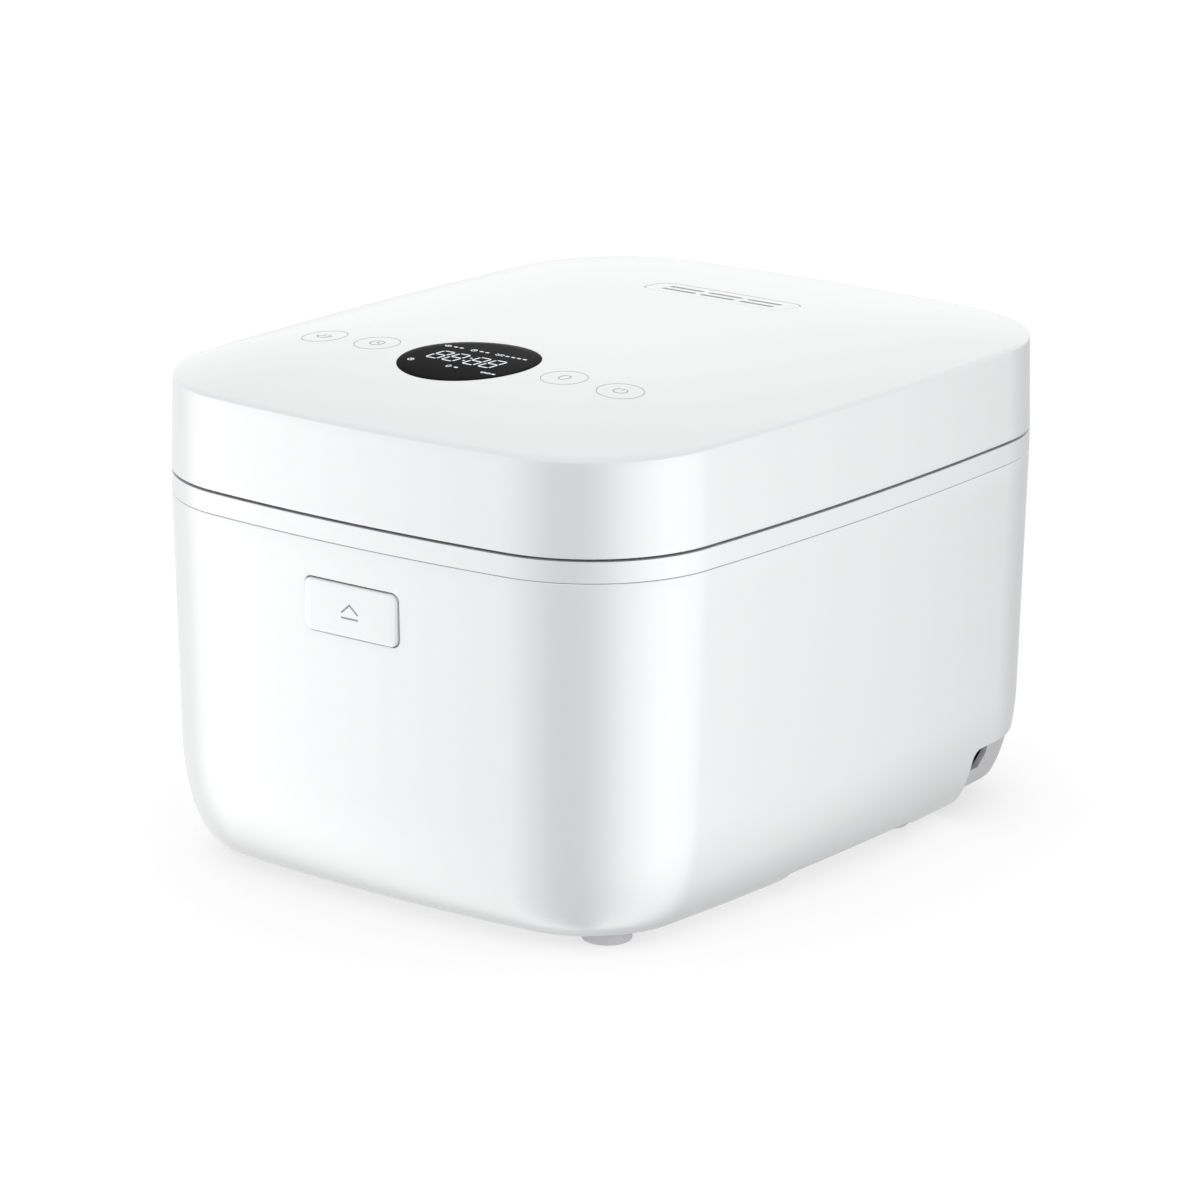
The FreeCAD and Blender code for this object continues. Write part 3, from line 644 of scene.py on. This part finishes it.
def sign(kind, u, v, size, width, place):
    """A small pictogram of strokes, centred at (u, v) in a box of the given half size. Its kinds are bowl,
    clock, flame, power, grain, waves and, for anything else, the sign for opening."""
    def line(*points):
        return stroke(np.array(points) * size + [u, v], width, place)

    def ring(radius, x=0.0, y=0.0, flat=1.0):
        outline = disc_outline(radius * size, u + x * size, v + y * size, flat)
        return stroke(outline, width, place, closed=True)

    if kind == "bowl":
        under = [(np.cos(t), np.sin(t) * 0.8) for t in np.linspace(np.pi, 2 * np.pi, 13)]
        steam = [line((x, 0.3), (x, 0.8)) for x in (-0.4, 0.4)]
        return [line(*under), line((-1.25, 0), (1.25, 0))] + steam
    if kind == "clock":
        return [ring(0.9), line((0, 0.55), (0, 0), (0.45, -0.2))]
    if kind == "flame":
        leaf = [(0.62 * np.sin(t) * (1 - 0.25 * np.cos(t)), -0.9 * np.cos(t))
                for t in np.linspace(0.2, np.pi, 12)]
        return [line(*leaf), line(*[(-x, y) for x, y in leaf])]
    if kind == "power":
        open_ring = [(0.85 * np.sin(t), 0.85 * np.cos(t)) for t in np.linspace(0.55, 2 * np.pi - 0.55, 26)]
        return [line(*open_ring), line((0, 1.0), (0, 0.2))]
    if kind == "grain":
        return [ring(0.75, -0.9, 0, 0.55), ring(0.75, 0.9, 0, 0.55)]
    if kind == "waves":
        return [line(*[(x, 0.25 * np.sin(3.2 * x) + y) for x in np.linspace(-1.6, 1.6, 22)])
                for y in (-0.5, 0.5)]
    return [line((-1.3, -0.35), (0, 0.75), (1.3, -0.35)), line((-1.3, -0.95), (1.3, -0.95))]


window_solid = dome_plate(window_loop, lambda x, y: dome_height(x, y) - window_thickness, 0.25 * MM)
window = joined("window_disc", window_solid)
window_paint = Paint("smoked_acrylic", IOR=1.03)
window_paint.tint(window_paint.noise(60.0, 2.0), (0.004, 0.004, 0.005), (0.009, 0.009, 0.010), 0.06, 0.05)
fitted(window, window_paint.material, "lid", "window_black", "display_window")

strips = [strip for left in digit_left for strip in segment_digit(left, digit_foot)]
colon_u = digit_left[2] - 2.0 * MM
for share in (0.3, 0.7):
    v = digit_foot + share * digit_height
    u = colon_u + digit_slant * share * digit_height
    strips.append(stroke([(u, v - 0.5 * MM), (u, v + 0.5 * MM)], 0.9 * MM, on_lid))
signs = (("bowl", -20.4, -77.4, 2), ("clock", -7.4, -77.4, 2), ("waves", 5.6, -77.4, 4),
         ("clock", -20.2, -101.2, 0), ("flame", -1.2, -101.2, 1), ("grain", 17.4, -101.2, 1))
for kind, u, v, dashes in signs:
    strips += sign(kind, u * MM, v * MM, 1.35 * MM, 0.4 * MM, on_lid)
    for k in range(dashes):
        start = (u + 2.9 + 2.9 * k) * MM
        strips.append(stroke([(start, v * MM), (start + 1.7 * MM, v * MM)], 1.0 * MM, on_lid))
lit = joined("lit_signs", *strips)
lit_paint = Paint("lit_sign", Base_Color=(0.55, 0.57, 0.58, 1), Emission_Strength=0.42)
pulse = lit_paint.noise(500.0, 2.0)
lit_paint.feed(Emission_Color=lit_paint.blend(pulse, (0.9, 0.95, 1.0, 1), (1.0, 1.0, 1.0, 1)),
               Roughness=0.4 + pulse * 0.1)
fitted(lit, lit_paint.material, "lid", "window_black", sharp=0)

# ---- Touch key marks -------------------------------------------------------------------------------
# Four sensing places under the lid, marked on it by pad-printed rings and pictograms in pale grey ink.
key_x = (-74.4 * MM, -47.1 * MM, 47.1 * MM, 74.4 * MM)
key_y = -89.5 * MM
key_radius = 9.3 * MM
key_strips = []
for x, kind in zip(key_x, ("bowl", "clock", "flame", "power")):
    key_strips.append(stroke(disc_outline(key_radius, x, key_y, around=72), 0.28 * MM, on_lid, closed=True))
    key_strips += sign(kind, x, key_y, 3.3 * MM, 0.45 * MM, on_lid)
marks = joined("key_marks", *key_strips)
ink = Paint("grey_ink")
ink.tint(ink.noise(900.0, 2.0), (0.26, 0.26, 0.27), (0.32, 0.32, 0.33), 0.5, 0.2)
fitted(marks, ink.material, "lid", "lining_grey", sharp=0)

# ---- Vent cap --------------------------------------------------------------------------------------
# The lift-off white cap over the steam well, flush with the lid, hollow below, with six slots.
well_floor = 180 * MM
slot_x = (-20 * MM, 0, 20 * MM)
slot_y = (vent_y - 3.3 * MM, vent_y + 2.5 * MM)
slot_half = (8.8 * MM, 1.3 * MM)
slot_corner = 1.2 * MM
cap_wall = 2.2 * MM


def slot_space(name, x, y):
    """A straight slot with rounded ends, flared where it meets the cap's top."""
    loop = placed(rounded_rectangle(*slot_half, slot_corner, 5), x, y)
    top = dome_height(x, y)
    steps = [(0, top - 12 * MM), (0, top - 0.2 * MM), (-0.15 * MM, top + 0.03 * MM),
             (-0.15 * MM, top + 4 * MM)]
    return skin(name, rings(loop, steps))


cap = joined("vent_cap", dome_plate(vent_loop, lambda x, y: np.full(len(x), well_floor), 0.4 * MM))
inner_u, inner_v = (half - cap_wall for half in vent_half)
inner_loop = placed(rounded_rectangle(inner_u, inner_v, vent_corner - cap_wall), 0, vent_y)
hollow_solid = dome_plate(inner_loop, lambda x, y: np.full(len(x), well_floor - 1 * MM), 0.5 * MM, cap_wall)
cut(cap, joined("cap_hollow", hollow_solid), *[slot_space("slot", x, y) for x in slot_x for y in slot_y])
fitted(cap, shell_white, "steam_vent", "shell_white", "steam_cap")

# ---- Release button --------------------------------------------------------------------------------
# A white moulded key standing slightly proud of the front wall, with a stop flange and a push rod, and
# a printed mark for opening the lid.
button_proud = 0.5 * MM
button_rounding = 0.55 * MM


def on_button(u, v, lift):
    """A place on the button's bowed face."""
    return np.column_stack([u, front_y(u, -button_proud) - lift, v])


key_loop = rounded_rectangle(*button_half, button_corner)
layers = []
for inset, drop in [(0, 6 * MM)] + arc((button_rounding, button_rounding), -button_rounding, 0, 90, 5):
    x, z = offset(key_loop, inset).T
    layers.append(on_button(x, z + button_z, -drop))
for scale in np.linspace(1, 0.04, 9)[1:]:
    x, z = offset(key_loop, button_rounding).T * scale
    layers.append(on_button(x, z + button_z, 0))
flange = offset(rounded_rectangle(26 * MM, 13 * MM, 3 * MM), 0) + [0, button_z]
rod = offset(rounded_rectangle(5 * MM, 2 * MM, 0.8 * MM), 0) + [0, button_z - 2.5 * MM]
button = joined("button_cap", skinned(np.stack(layers)), carried(flange, -159 * MM, -157 * MM, "y", 0.3 * MM),
                carried(rod, -158 * MM, -141.6 * MM, "y", 0.4 * MM))
fitted(button, shell_white, "button", "shell_white", "release_button")
mark = joined("button_mark", *sign("open", 0, button_z + 0.3 * MM, 3.2 * MM, 0.75 * MM, on_button))
fitted(mark, ink.material, "button", "lining_grey", sharp=0)

# ---- Feet ------------------------------------------------------------------------------------------
# Four short feet in pale thermoplastic rubber, pressed into the shell, with a rounded tread edge.
pot_y = 8 * MM


def turned(profile, x=0.0, y=0.0, around=96, ends="caps"):
    """A profile of (radius, height) pairs in millimetres spun about an upright line at (x, y)."""
    loop = circle(0.0, around)[2]
    layers = [np.column_stack([loop * radius * MM + [x, y], np.full(around, height * MM)])
              for radius, height in profile]
    return skinned(np.stack(layers), ends)


foot_profile = [(0.3, 0.5), (6.2, 0.5)] + arc((6.9, 0.5), 0.5, 180, 270, 3)
foot_profile += arc((9.1, 0.8), 0.8, 270, 360, 4) + [(9.95, 3.0), (10.0, 4.5), (4.0, 4.5), (0.3, 4.5)]
foot_rubber = moulded("pale_foot_rubber", (0.5, 0.5, 0.51), 0.7, 0.02, 0.00003)
feet = (("front_left", -92, -119), ("front_right", 92, -119), ("rear_left", -95, 66), ("rear_right", 95, 66))
for name, x, y in feet:
    foot = joined("foot_pad_" + name, turned(foot_profile, x * MM, y * MM))
    fitted(foot, foot_rubber, "cooker_body", "foot_rubber", "foot_" + name)

# ---- Inner pot -------------------------------------------------------------------------------------
# A deep-drawn aluminium pot: satin outside, dark speckled non-stick coating inside, a rolled rim, and
# water-level marks in pale ink on the inner wall.
pot_outer = arc((61.5, 75), 35, 270, 360, 14)
pot_inner = arc((61.5, 75), 33, 360, 270, 14)
rim = [(96.5, 152.5)] + arc((97.3, 153.2), 0.8, 180, 90, 3)[1:] + arc((102.6, 155.2), 1.2, 270, 450, 8)
rim += [(96.5, 156.4)] + arc((96.0, 154.9), 1.5, 90, 180, 4)
pot_profile = [(0.4, 40), (30, 40)] + pot_outer + [(96.5, 100)] + rim + [(94.5, 100)] + pot_inner
pot_profile += [(30, 42), (0.4, 42)]
pot = joined("cooking_pot", turned(pot_profile, 0, pot_y, 160))


def ringed(paint, spread):
    """Noise that varies with the distance from the pot's axis and with height: the marks of a lathe."""
    x, y, z = paint.split(paint.place())
    across = paint.node("ShaderNodeCombineXYZ", {}, {0: x, 1: y - pot_y})
    radius = paint.node("ShaderNodeVectorMath", {"operation": "LENGTH"}, {0: across}, 1)
    return paint.noise(spread, 3.0, 0.6, paint.node("ShaderNodeCombineXYZ", {}, {0: radius, 1: z * 0.6}))


satin = Paint("spun_aluminium", Metallic=1.0)
lathe = ringed(satin, 2200.0)
satin.tint(lathe, (0.52, 0.52, 0.53), (0.66, 0.66, 0.67), 0.28, 0.14)
satin.bump(lathe, 0.00002)
coating = Paint("speckled_coating", Specular_IOR_Level=0.5)
fleck = coating.between(coating.noise(1500.0, 2.0, 0.6), 0.66, 0.72)
coating.tint(fleck, (0.022, 0.022, 0.023), (0.17, 0.17, 0.165), 0.34, 0.2)
coating.bump(coating.noise(700.0, 2.0), 0.00002)
fitted(pot, satin.material, "cooker_body", "pot_coating", "inner_pot", 50)
pot.data.materials.append(coating.material)
face_middle = np.array([face.center for face in pot.data.polygons])
face_way = np.array([face.normal for face in pot.data.polygons])
out = face_middle[:, :2] - [0, pot_y]
towards_axis = np.einsum("ij,ij->i", out, face_way[:, :2]) < -1e-6
coated = towards_axis | ((face_way[:, 2] > 0.2) & (np.linalg.norm(out, axis=1) < 0.1))
pot.data.polygons.foreach_set("material_index", coated.astype(np.int32))
pot_inner_radius = 94.5 * MM


def on_pot_wall(u, v, lift):
    """A place on the pot's inner wall, u along its circumference: radius * (cos, sin) of u / radius."""
    turn = np.asarray(u) / pot_inner_radius + np.pi / 2
    radius = pot_inner_radius - lift
    return np.column_stack([radius * np.cos(turn), pot_y + radius * np.sin(turn), v + 0 * turn])


levels = []
for step in range(7):
    height = (80 + 9.5 * step) * MM
    reach = (7 if step % 2 else 11) * MM
    levels.append(stroke([(u, height) for u in np.linspace(-reach, reach, 7)], 0.6 * MM, on_pot_wall))
levels.append(stroke([(13 * MM, 78 * MM), (13 * MM, 139 * MM)], 0.5 * MM, on_pot_wall))
level_marks = joined("level_marks", *levels)
fitted(level_marks, ink.material, "cooker_body", "lining_grey", sharp=0)

# ---- Inner lid plate, its seal and the rim gasket ---------------------------------------------------
# A pressed aluminium plate with a raised middle and pierced by the steam port and the thermistor, held in
# a soft silicone seal; a second ring cushions the pot's rim on the deck.
plate_profile = [(0.4, 158.4), (50, 158.4)] + arc((52.5, 158.4), 0.9, 180, 0, 6)
plate_profile += [(55, 158.4), (83.5, 158.4), (85, 158.1), (87, 157.5), (88.5, 157.4)]
plate_profile += arc((91.4, 158.0), 0.6, 270, 450, 6)
plate_profile += [(88.6, 158.6), (87, 158.8), (85, 159.4), (83.5, 159.6), (0.4, 159.6)]
inner_plate = joined("pressed_lid_plate", turned(plate_profile, 0, pot_y, 160))
port = placed(circle(13.2 * MM, 64), 0, vent_y)
probe = placed(circle(6.4 * MM, 48), 34 * MM, 30 * MM)
cut(inner_plate, *[prism("plate_hole", offset(hole, 0), 150 * MM, 170 * MM) for hole in (port, probe)])
fitted(inner_plate, satin.material, "lid", "lid_aluminium", "inner_lid_plate")

silicone = Paint("soft_silicone", Subsurface_Weight=0.15, Subsurface_Scale=0.002)
silicone.tint(silicone.noise(120.0, 3.0), (0.70, 0.70, 0.69), (0.78, 0.78, 0.77), 0.5, 0.12)
silicone.bump(silicone.noise(1800.0, 2.0), 0.00001)
seal_profile = [(92.2, 157.4)] + arc((92.6, 160.0), 0.4, 180, 90, 3) + arc((101.1, 160.0), 0.4, 90, 0, 3)
seal_profile += [(101.5, 159.0), (100.6, 157.9)] + arc((99.2, 157.2), 0.5, 20, -90, 4)
seal_profile += arc((96.4, 157.1), 0.4, 270, 200, 3) + [(94.2, 157.2)]
gasket_profile = [(98.8, 152.6), (99.1, 152.3), (103.3, 152.3), (103.6, 152.6), (103.6, 153.6)]
gasket_profile += arc((102.9, 153.3), 0.7, 0, 90, 3) + arc((99.5, 153.3), 0.7, 90, 180, 3)
for name, node, body, profile in (("lid_seal_ring", "lid_seal", "lid", seal_profile),
                                  ("rim_cushion", "rim_gasket", "cooker_body", gasket_profile)):
    ring = joined(name, turned(profile, 0, pot_y, 160, "loop"))
    fitted(ring, silicone.material, body, "soft_silicone", node)

# ---- Heating plate and sensor cap -------------------------------------------------------------------
# The cast aluminium plate is faced on a lathe, so it carries fine rings; the spun cap sits in its middle.
heating_profile = [(18.5, 26.5), (19, 26), (74, 26), (75, 27)] + arc((73.4, 38.4), 1.6, 0, 90, 4)
heating_profile += [(60, 40.0), (58.6, 39.6), (57.2, 40.0), (40, 40.0), (38.6, 39.6), (37.2, 40), (19.1, 40)]
heating_profile += [(18.5, 39.4)]
cap_profile = [(0.3, 11), (4.9, 11), (5.2, 11.3), (5.2, 31), (15.2, 31), (17, 32.6)]
cap_profile += arc((15.4, 38.0), 1.6, 0, 90, 4) + [(9, 39.6), (8.4, 39.3), (0.3, 39.3)]
cast = Paint("faced_casting", Metallic=1.0)
rings_cut = ringed(cast, 1400.0)
cast.tint(rings_cut, (0.42, 0.42, 0.43), (0.58, 0.58, 0.58), 0.36, 0.2)
cast.bump(rings_cut, 0.00003)
for name, node, body, profile, ends, slot in (
        ("faced_plate", "heating_plate", "cooker_body", heating_profile, "loop", "cast_aluminium"),
        ("spun_cap", "sensor_cap", "pot_sensor", cap_profile, "caps", "lid_aluminium")):
    piece = joined(name, turned(profile, 0, pot_y, 120, ends))
    fitted(piece, cast.material, body, slot, node)

# ---- Springs ---------------------------------------------------------------------------------------
# Wound steel wire: two torsion springs on the hinge pin, and two compression springs, one behind the latch
# and one under the sensor cap, which shorten as the latch turns and the cap goes down.


def coil(name, start, stop, radius, wire, turns, axis):
    """Round wire wound along an axis: a circle of the wire's radius carried along the helix
    (radius * cos, radius * sin, rise), closing flat at both ends."""
    steps = int(turns * 26)
    turn = np.linspace(0, 2 * np.pi * turns, steps)
    rise = np.clip((turn / (2 * np.pi) - 0.5) / (turns - 1), 0, 1)
    low, high = np.array(start, float), np.array(stop, float)
    reach = np.linalg.norm(high - low)
    way = (high - low) / reach
    side = np.array({"x": (0, 1, 0), "y": (0, 0, 1), "z": (1, 0, 0)}[axis], float)
    across = np.cross(way, side)
    outward = np.cos(turn)[:, None] * side + np.sin(turn)[:, None] * across
    centre = low + way * (wire + rise * (reach - 2 * wire))[:, None] + outward * radius
    angle = np.linspace(0, 2 * np.pi, 10, endpoint=False)
    ring = centre[:, None] + wire * (np.cos(angle)[None, :, None] * outward[:, None]
                                     + np.sin(angle)[None, :, None] * way)
    return skin(name, ring)


spring_steel = Paint("spring_steel", Metallic=1.0)
spring_steel.tint(spring_steel.noise(400.0, 3.0), (0.40, 0.40, 0.41), (0.55, 0.55, 0.55), 0.26, 0.16)
wound = (
    ("hinge", "_left", "lid", (-49.4, 157.5, 158), (-39.6, 157.5, 158), 4.1, 0.75, 6.5, "x"),
    ("hinge", "_right", "lid", (39.6, 157.5, 158), (49.4, 157.5, 158), 4.1, 0.75, 6.5, "x"),
    ("latch", "", "cooker_body", (0, -134.9, 122), (0, -125.1, 122), 3.2, 0.38, 6, "y"),
    ("sensor", "", "cooker_body", (0, 8, 14.5), (0, 8, 30.9), 8.0, 0.75, 6.5, "z"))
coils = {}
for use, hand, body, start, stop, radius, wire, turns, axis in wound:
    name = use + "_coil" + hand
    coils[name] = coil(name, np.array(start) * MM, np.array(stop) * MM, radius * MM, wire * MM, turns, axis)
    fitted(coils[name], spring_steel.material, body, "spring_steel", use + "_spring" + hand)
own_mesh(coils["latch_coil"])
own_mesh(coils["sensor_coil"])

# ---- Mouldings and pressings that keep their frame shape --------------------------------------------
# Deck, rear housing, base, lid lining, boards and brackets. Each is its frame shape with its edges broken
# by a small radius, as a moulding or a deburred pressing has. A row gives the node, the piece's name, the
# edge radius in millimetres, the material and the slot.


soft_angle = 30


def softened(body, node, name, width, material, slot):
    """A copy of a node's mesh, merged, with flat stretches joined and edges over the angle bevelled."""
    twin = bpy.data.objects.new(name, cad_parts[node].data.copy())
    bpy.context.scene.collection.objects.link(twin)
    work = bmesh.new()
    work.from_mesh(twin.data)
    bmesh.ops.remove_doubles(work, verts=work.verts, dist=1e-6)
    bmesh.ops.dissolve_limit(work, angle_limit=np.radians(0.4), verts=work.verts, edges=work.edges)
    work.to_mesh(twin.data)
    work.free()
    if width:
        round_off = twin.modifiers.new("edges", "BEVEL")
        round_off.limit_method = "ANGLE"
        round_off.angle_limit = np.radians(soft_angle)
        round_off.width = width * MM
        round_off.segments = 3
        round_off.harden_normals = True
    fitted(twin, material, body, slot, node, soft_angle)


def metal(name, dark, light, gloss, grain=700.0):
    """Worked metal: rolling streaks along X and a light unevenness of gloss."""
    paint = Paint(name, Metallic=1.0)
    x, y, z = paint.split(paint.place())
    stretched = paint.node("ShaderNodeCombineXYZ", {}, {0: x * 0.08, 1: y, 2: z})
    streak = paint.noise(grain, 3.0, 0.6, stretched)
    paint.tint(streak, dark, light, gloss, 0.15)
    paint.bump(streak, 0.00001)
    return paint.material


def potted(name, dark, light, gloss, grain, height):
    """A matt part with a visible grain: laminate, winding varnish, foam or sleeve."""
    paint = Paint(name)
    speck = paint.noise(grain, 4.0, 0.6)
    paint.tint(speck, dark, light, gloss, 0.15)
    paint.bump(speck, height)
    return paint.material


grey_plastic = moulded("grey_textured_plastic", (0.30, 0.30, 0.31), 0.55, 0.02, 0.00003)
housing_plastic = moulded("pale_grey_plastic", (0.44, 0.44, 0.45), 0.5, 0.02, 0.00002)
lining_plastic = moulded("light_grey_plastic", (0.50, 0.50, 0.51), 0.42, 0.015, 0.00001)
black_plastic = moulded("black_plastic", (0.02, 0.02, 0.021), 0.45, 0.05, 0.00002)
nylon = moulded("natural_nylon", (0.55, 0.54, 0.50), 0.45, 0.03, 0.00001)
steel = metal("pressed_steel", (0.40, 0.40, 0.41), (0.52, 0.52, 0.53), 0.30)
galvanised = metal("galvanised_steel", (0.36, 0.37, 0.38), (0.56, 0.57, 0.58), 0.34, 180.0)
brass = metal("nickelled_brass", (0.55, 0.48, 0.34), (0.68, 0.60, 0.44), 0.24)
aluminium = metal("extruded_aluminium", (0.44, 0.44, 0.45), (0.58, 0.58, 0.59), 0.34)
heater = metal("oxidised_heater_tube", (0.10, 0.09, 0.085), (0.20, 0.18, 0.17), 0.45, 300.0)
laminate = potted("green_laminate", (0.010, 0.085, 0.035), (0.016, 0.12, 0.05), 0.42, 900.0, 0.00001)
iron = potted("varnished_core", (0.06, 0.045, 0.03), (0.16, 0.10, 0.05), 0.40, 700.0, 0.00004)
sleeve = potted("printed_sleeve", (0.012, 0.02, 0.05), (0.02, 0.03, 0.075), 0.35, 300.0, 0.00001)
foam = potted("conductive_foam", (0.03, 0.03, 0.03), (0.08, 0.08, 0.08), 0.85, 1500.0, 0.0001)
body_rows = (
    ("deck", "deck_moulding", 0.35, shell_white, "deck_white"),
    ("rear_housing", "housing_moulding", 0.5, housing_plastic, "base_grey"),
    ("base_plate", "base_moulding", 0.4, grey_plastic, "base_grey"),
    ("inlet_socket", "inlet_body", 0.3, black_plastic, "black_plastic"),
    *[("inlet_pin_" + pole, "pin_" + pole, 0.3, brass, "pin_brass") for pole in ("live", "neutral", "earth")],
    ("heat_shield", "shield_can", 0, galvanised, "pressed_steel"),
    ("heating_element", "heater_tube", 0, heater, "heater_tube"),
    ("thermal_fuse", "fuse_body", 0.3, sleeve, "capacitor_sleeve"),
    ("sensor_bracket", "sensor_strap", 0.2, steel, "pressed_steel"),
    ("power_board", "power_laminate", 0.15, laminate, "circuit_green"),
    ("transformer", "transformer_block", 0.6, iron, "transformer_iron"),
    ("relay", "relay_block", 0.5, black_plastic, "black_plastic"),
    ("capacitor", "capacitor_can", 0.6, sleeve, "capacitor_sleeve"),
    ("heat_sink", "finned_sink", 0.2, aluminium, "cast_aluminium"),
    *[("hinge_" + part, part, 0.4, nylon, "latch_nylon") for part in ("knuckle_left", "knuckle_right")],
    *[(use + "_pin", use + "_rod", 0.3, steel, "pressed_steel") for use in ("hinge", "latch")])
latch_row = ("latch_hook", "latch_lever", 0.3, nylon, "latch_nylon")
fixing_rows = (
    *[("plate_" + post, post, 0.2, steel, "pressed_steel") for post in ("post_1", "post_2", "post_3")],
    *[("base_" + screw, screw, 0.15, steel, "pressed_steel") for screw in ("screw_1", "screw_2", "screw_3")])
lid_rows = (
    ("lid_frame", "lid_lining", 0.4, lining_plastic, "lining_grey"),
    ("hinge_plate", "hinge_leaf", 0.3, steel, "pressed_steel"),
    ("striker", "striker_bar", 0.3, steel, "pressed_steel"),
    ("display_module", "lamp_module", 0.5, black_plastic, "black_plastic"),
    ("touch_board", "touch_laminate", 0.15, laminate, "circuit_green"),
    *[("touch_" + pad, "foam_" + pad, 0.3, foam, "key_foam") for pad in ("pad_1", "pad_2", "pad_3", "pad_4")],
    ("inner_lid_clip", "plate_clip", 0.5, lining_plastic, "lining_grey"),
    ("lid_thermistor", "thermistor_can", 0.5, satin.material, "lid_aluminium"),
    ("steam_well", "well_moulding", 0.3, lining_plastic, "lining_grey"),
    ("steam_grommet", "port_grommet", 0.4, silicone.material, "soft_silicone"))
baffle_row = ("steam_baffle", "baffle_plate", 0.3, lining_plastic, "lining_grey")
kept = (("cooker_body", body_rows), ("latch", [latch_row]), ("cooker_body", fixing_rows), ("lid", lid_rows),
        ("steam_vent", [baffle_row]))
for body, rows in kept:
    for row in rows:
        softened(body, *row)

# ---- Painted shade behind the side openings ---------------------------------------------------------
# A black sheet in the black plastic material behind each side opening of the rear housing: painted
# shade, so that the openings look as dark as the shaded inside of the housing.
painted_shade_outline = offset(placed(rounded_rectangle(7 * MM, 6.75 * MM, 1.5 * MM), 101 * MM, 22.75 * MM), 0)
painted_shade_x = (110.5 * MM, 113.5 * MM)
for name, side in (("right", 1), ("left", -1)):
    low, high = sorted((side * painted_shade_x[0], side * painted_shade_x[1]))
    # Each sheet is painted shade standing in for the shadow inside the housing, not a part of the cooker.
    painted_shade_sheet = joined("side_liner_" + name, carried(painted_shade_outline, low, high, "x", 0.5 * MM))
    fitted(painted_shade_sheet, black_plastic, "cooker_body", "black_plastic")

# ---- Floor and light --------------------------------------------------------------------------------
# A plain pale floor that glows a little, so that the cooker's shadow stays light, in a studio of soft
# panels: a level sky overhead, and walls whose brightness depends on the way they lie.
floor_mesh = bpy.data.meshes.new("floor")
floor_reach = 9.0
floor_corners = [(x * floor_reach, y * floor_reach, 0) for x, y in ((-1, -1), (1, -1), (1, 1), (-1, 1))]
floor_mesh.from_pydata(floor_corners, [], [(0, 1, 2, 3)])
floor = bpy.data.objects.new("floor", floor_mesh)
bpy.context.scene.collection.objects.link(floor)
floor_paint = Paint("pale_floor", Roughness=0.9, Specular_IOR_Level=0.0, Base_Color=(0.45, 0.45, 0.45, 1),
                    Emission_Color=(1, 1, 1, 1), Emission_Strength=0.55)
floor.data.materials.append(floor_paint.material)
floor.visible_glossy = False

# The panels round the walls as (way, brightness): 0 degrees lies in front of the cooker, 90 to its right.
panels = (
    (-180, 0.4), (-130, 0.95), (-106, 1.0), (-90, 1.15), (-78, 1.8), (-62, 2.9), (-50, 2.9), (-40, 2.3),
    (-29, 1.7), (-18, 1.3), (-8, 0.95), (2, 0.5), (11, 0.1), (20, 0.0), (32, 0.05), (38, 0.3), (51, 0.9),
    (63, 1.8), (75, 2.35), (87, 2.8), (102, 3.05), (117, 2.75), (130, 2.4), (139, 1.45), (150, 1.15),
    (157, 0.5), (180, 0.4))
brightest = 3.05
sky_level = 1.12
low_share = 0.64
world = bpy.data.worlds.new("studio")
world.use_nodes = True
studio = Graph(world.node_tree)
east, north, high = studio.split(studio.node("ShaderNodeTexCoord", {}, {}, "Generated"))
way = east.math("ARCTAN2", east, 0.0 - north) * (0.5 / np.pi) + 0.5
stops = [(azimuth / 360 + 0.5, level / brightest) for azimuth, level in panels]
ring = studio.node("ShaderNodeValToRGB", {"stops": stops}, {"Fac": way})
sky = studio.between(high, -0.12, -0.02)
shade = low_share + (1 - low_share) * studio.between(high, -0.85, -0.42)
strength = ring * shade * brightest * (1.0 - sky) + sky * sky_level
studio.tree.links.new(strength.socket, studio.tree.nodes["Background"].inputs["Strength"])
studio.tree.nodes["Background"].inputs["Color"].default_value = (1, 1, 1, 1)
bpy.context.scene.world = world
bpy.context.scene.view_settings.view_transform = "Standard"
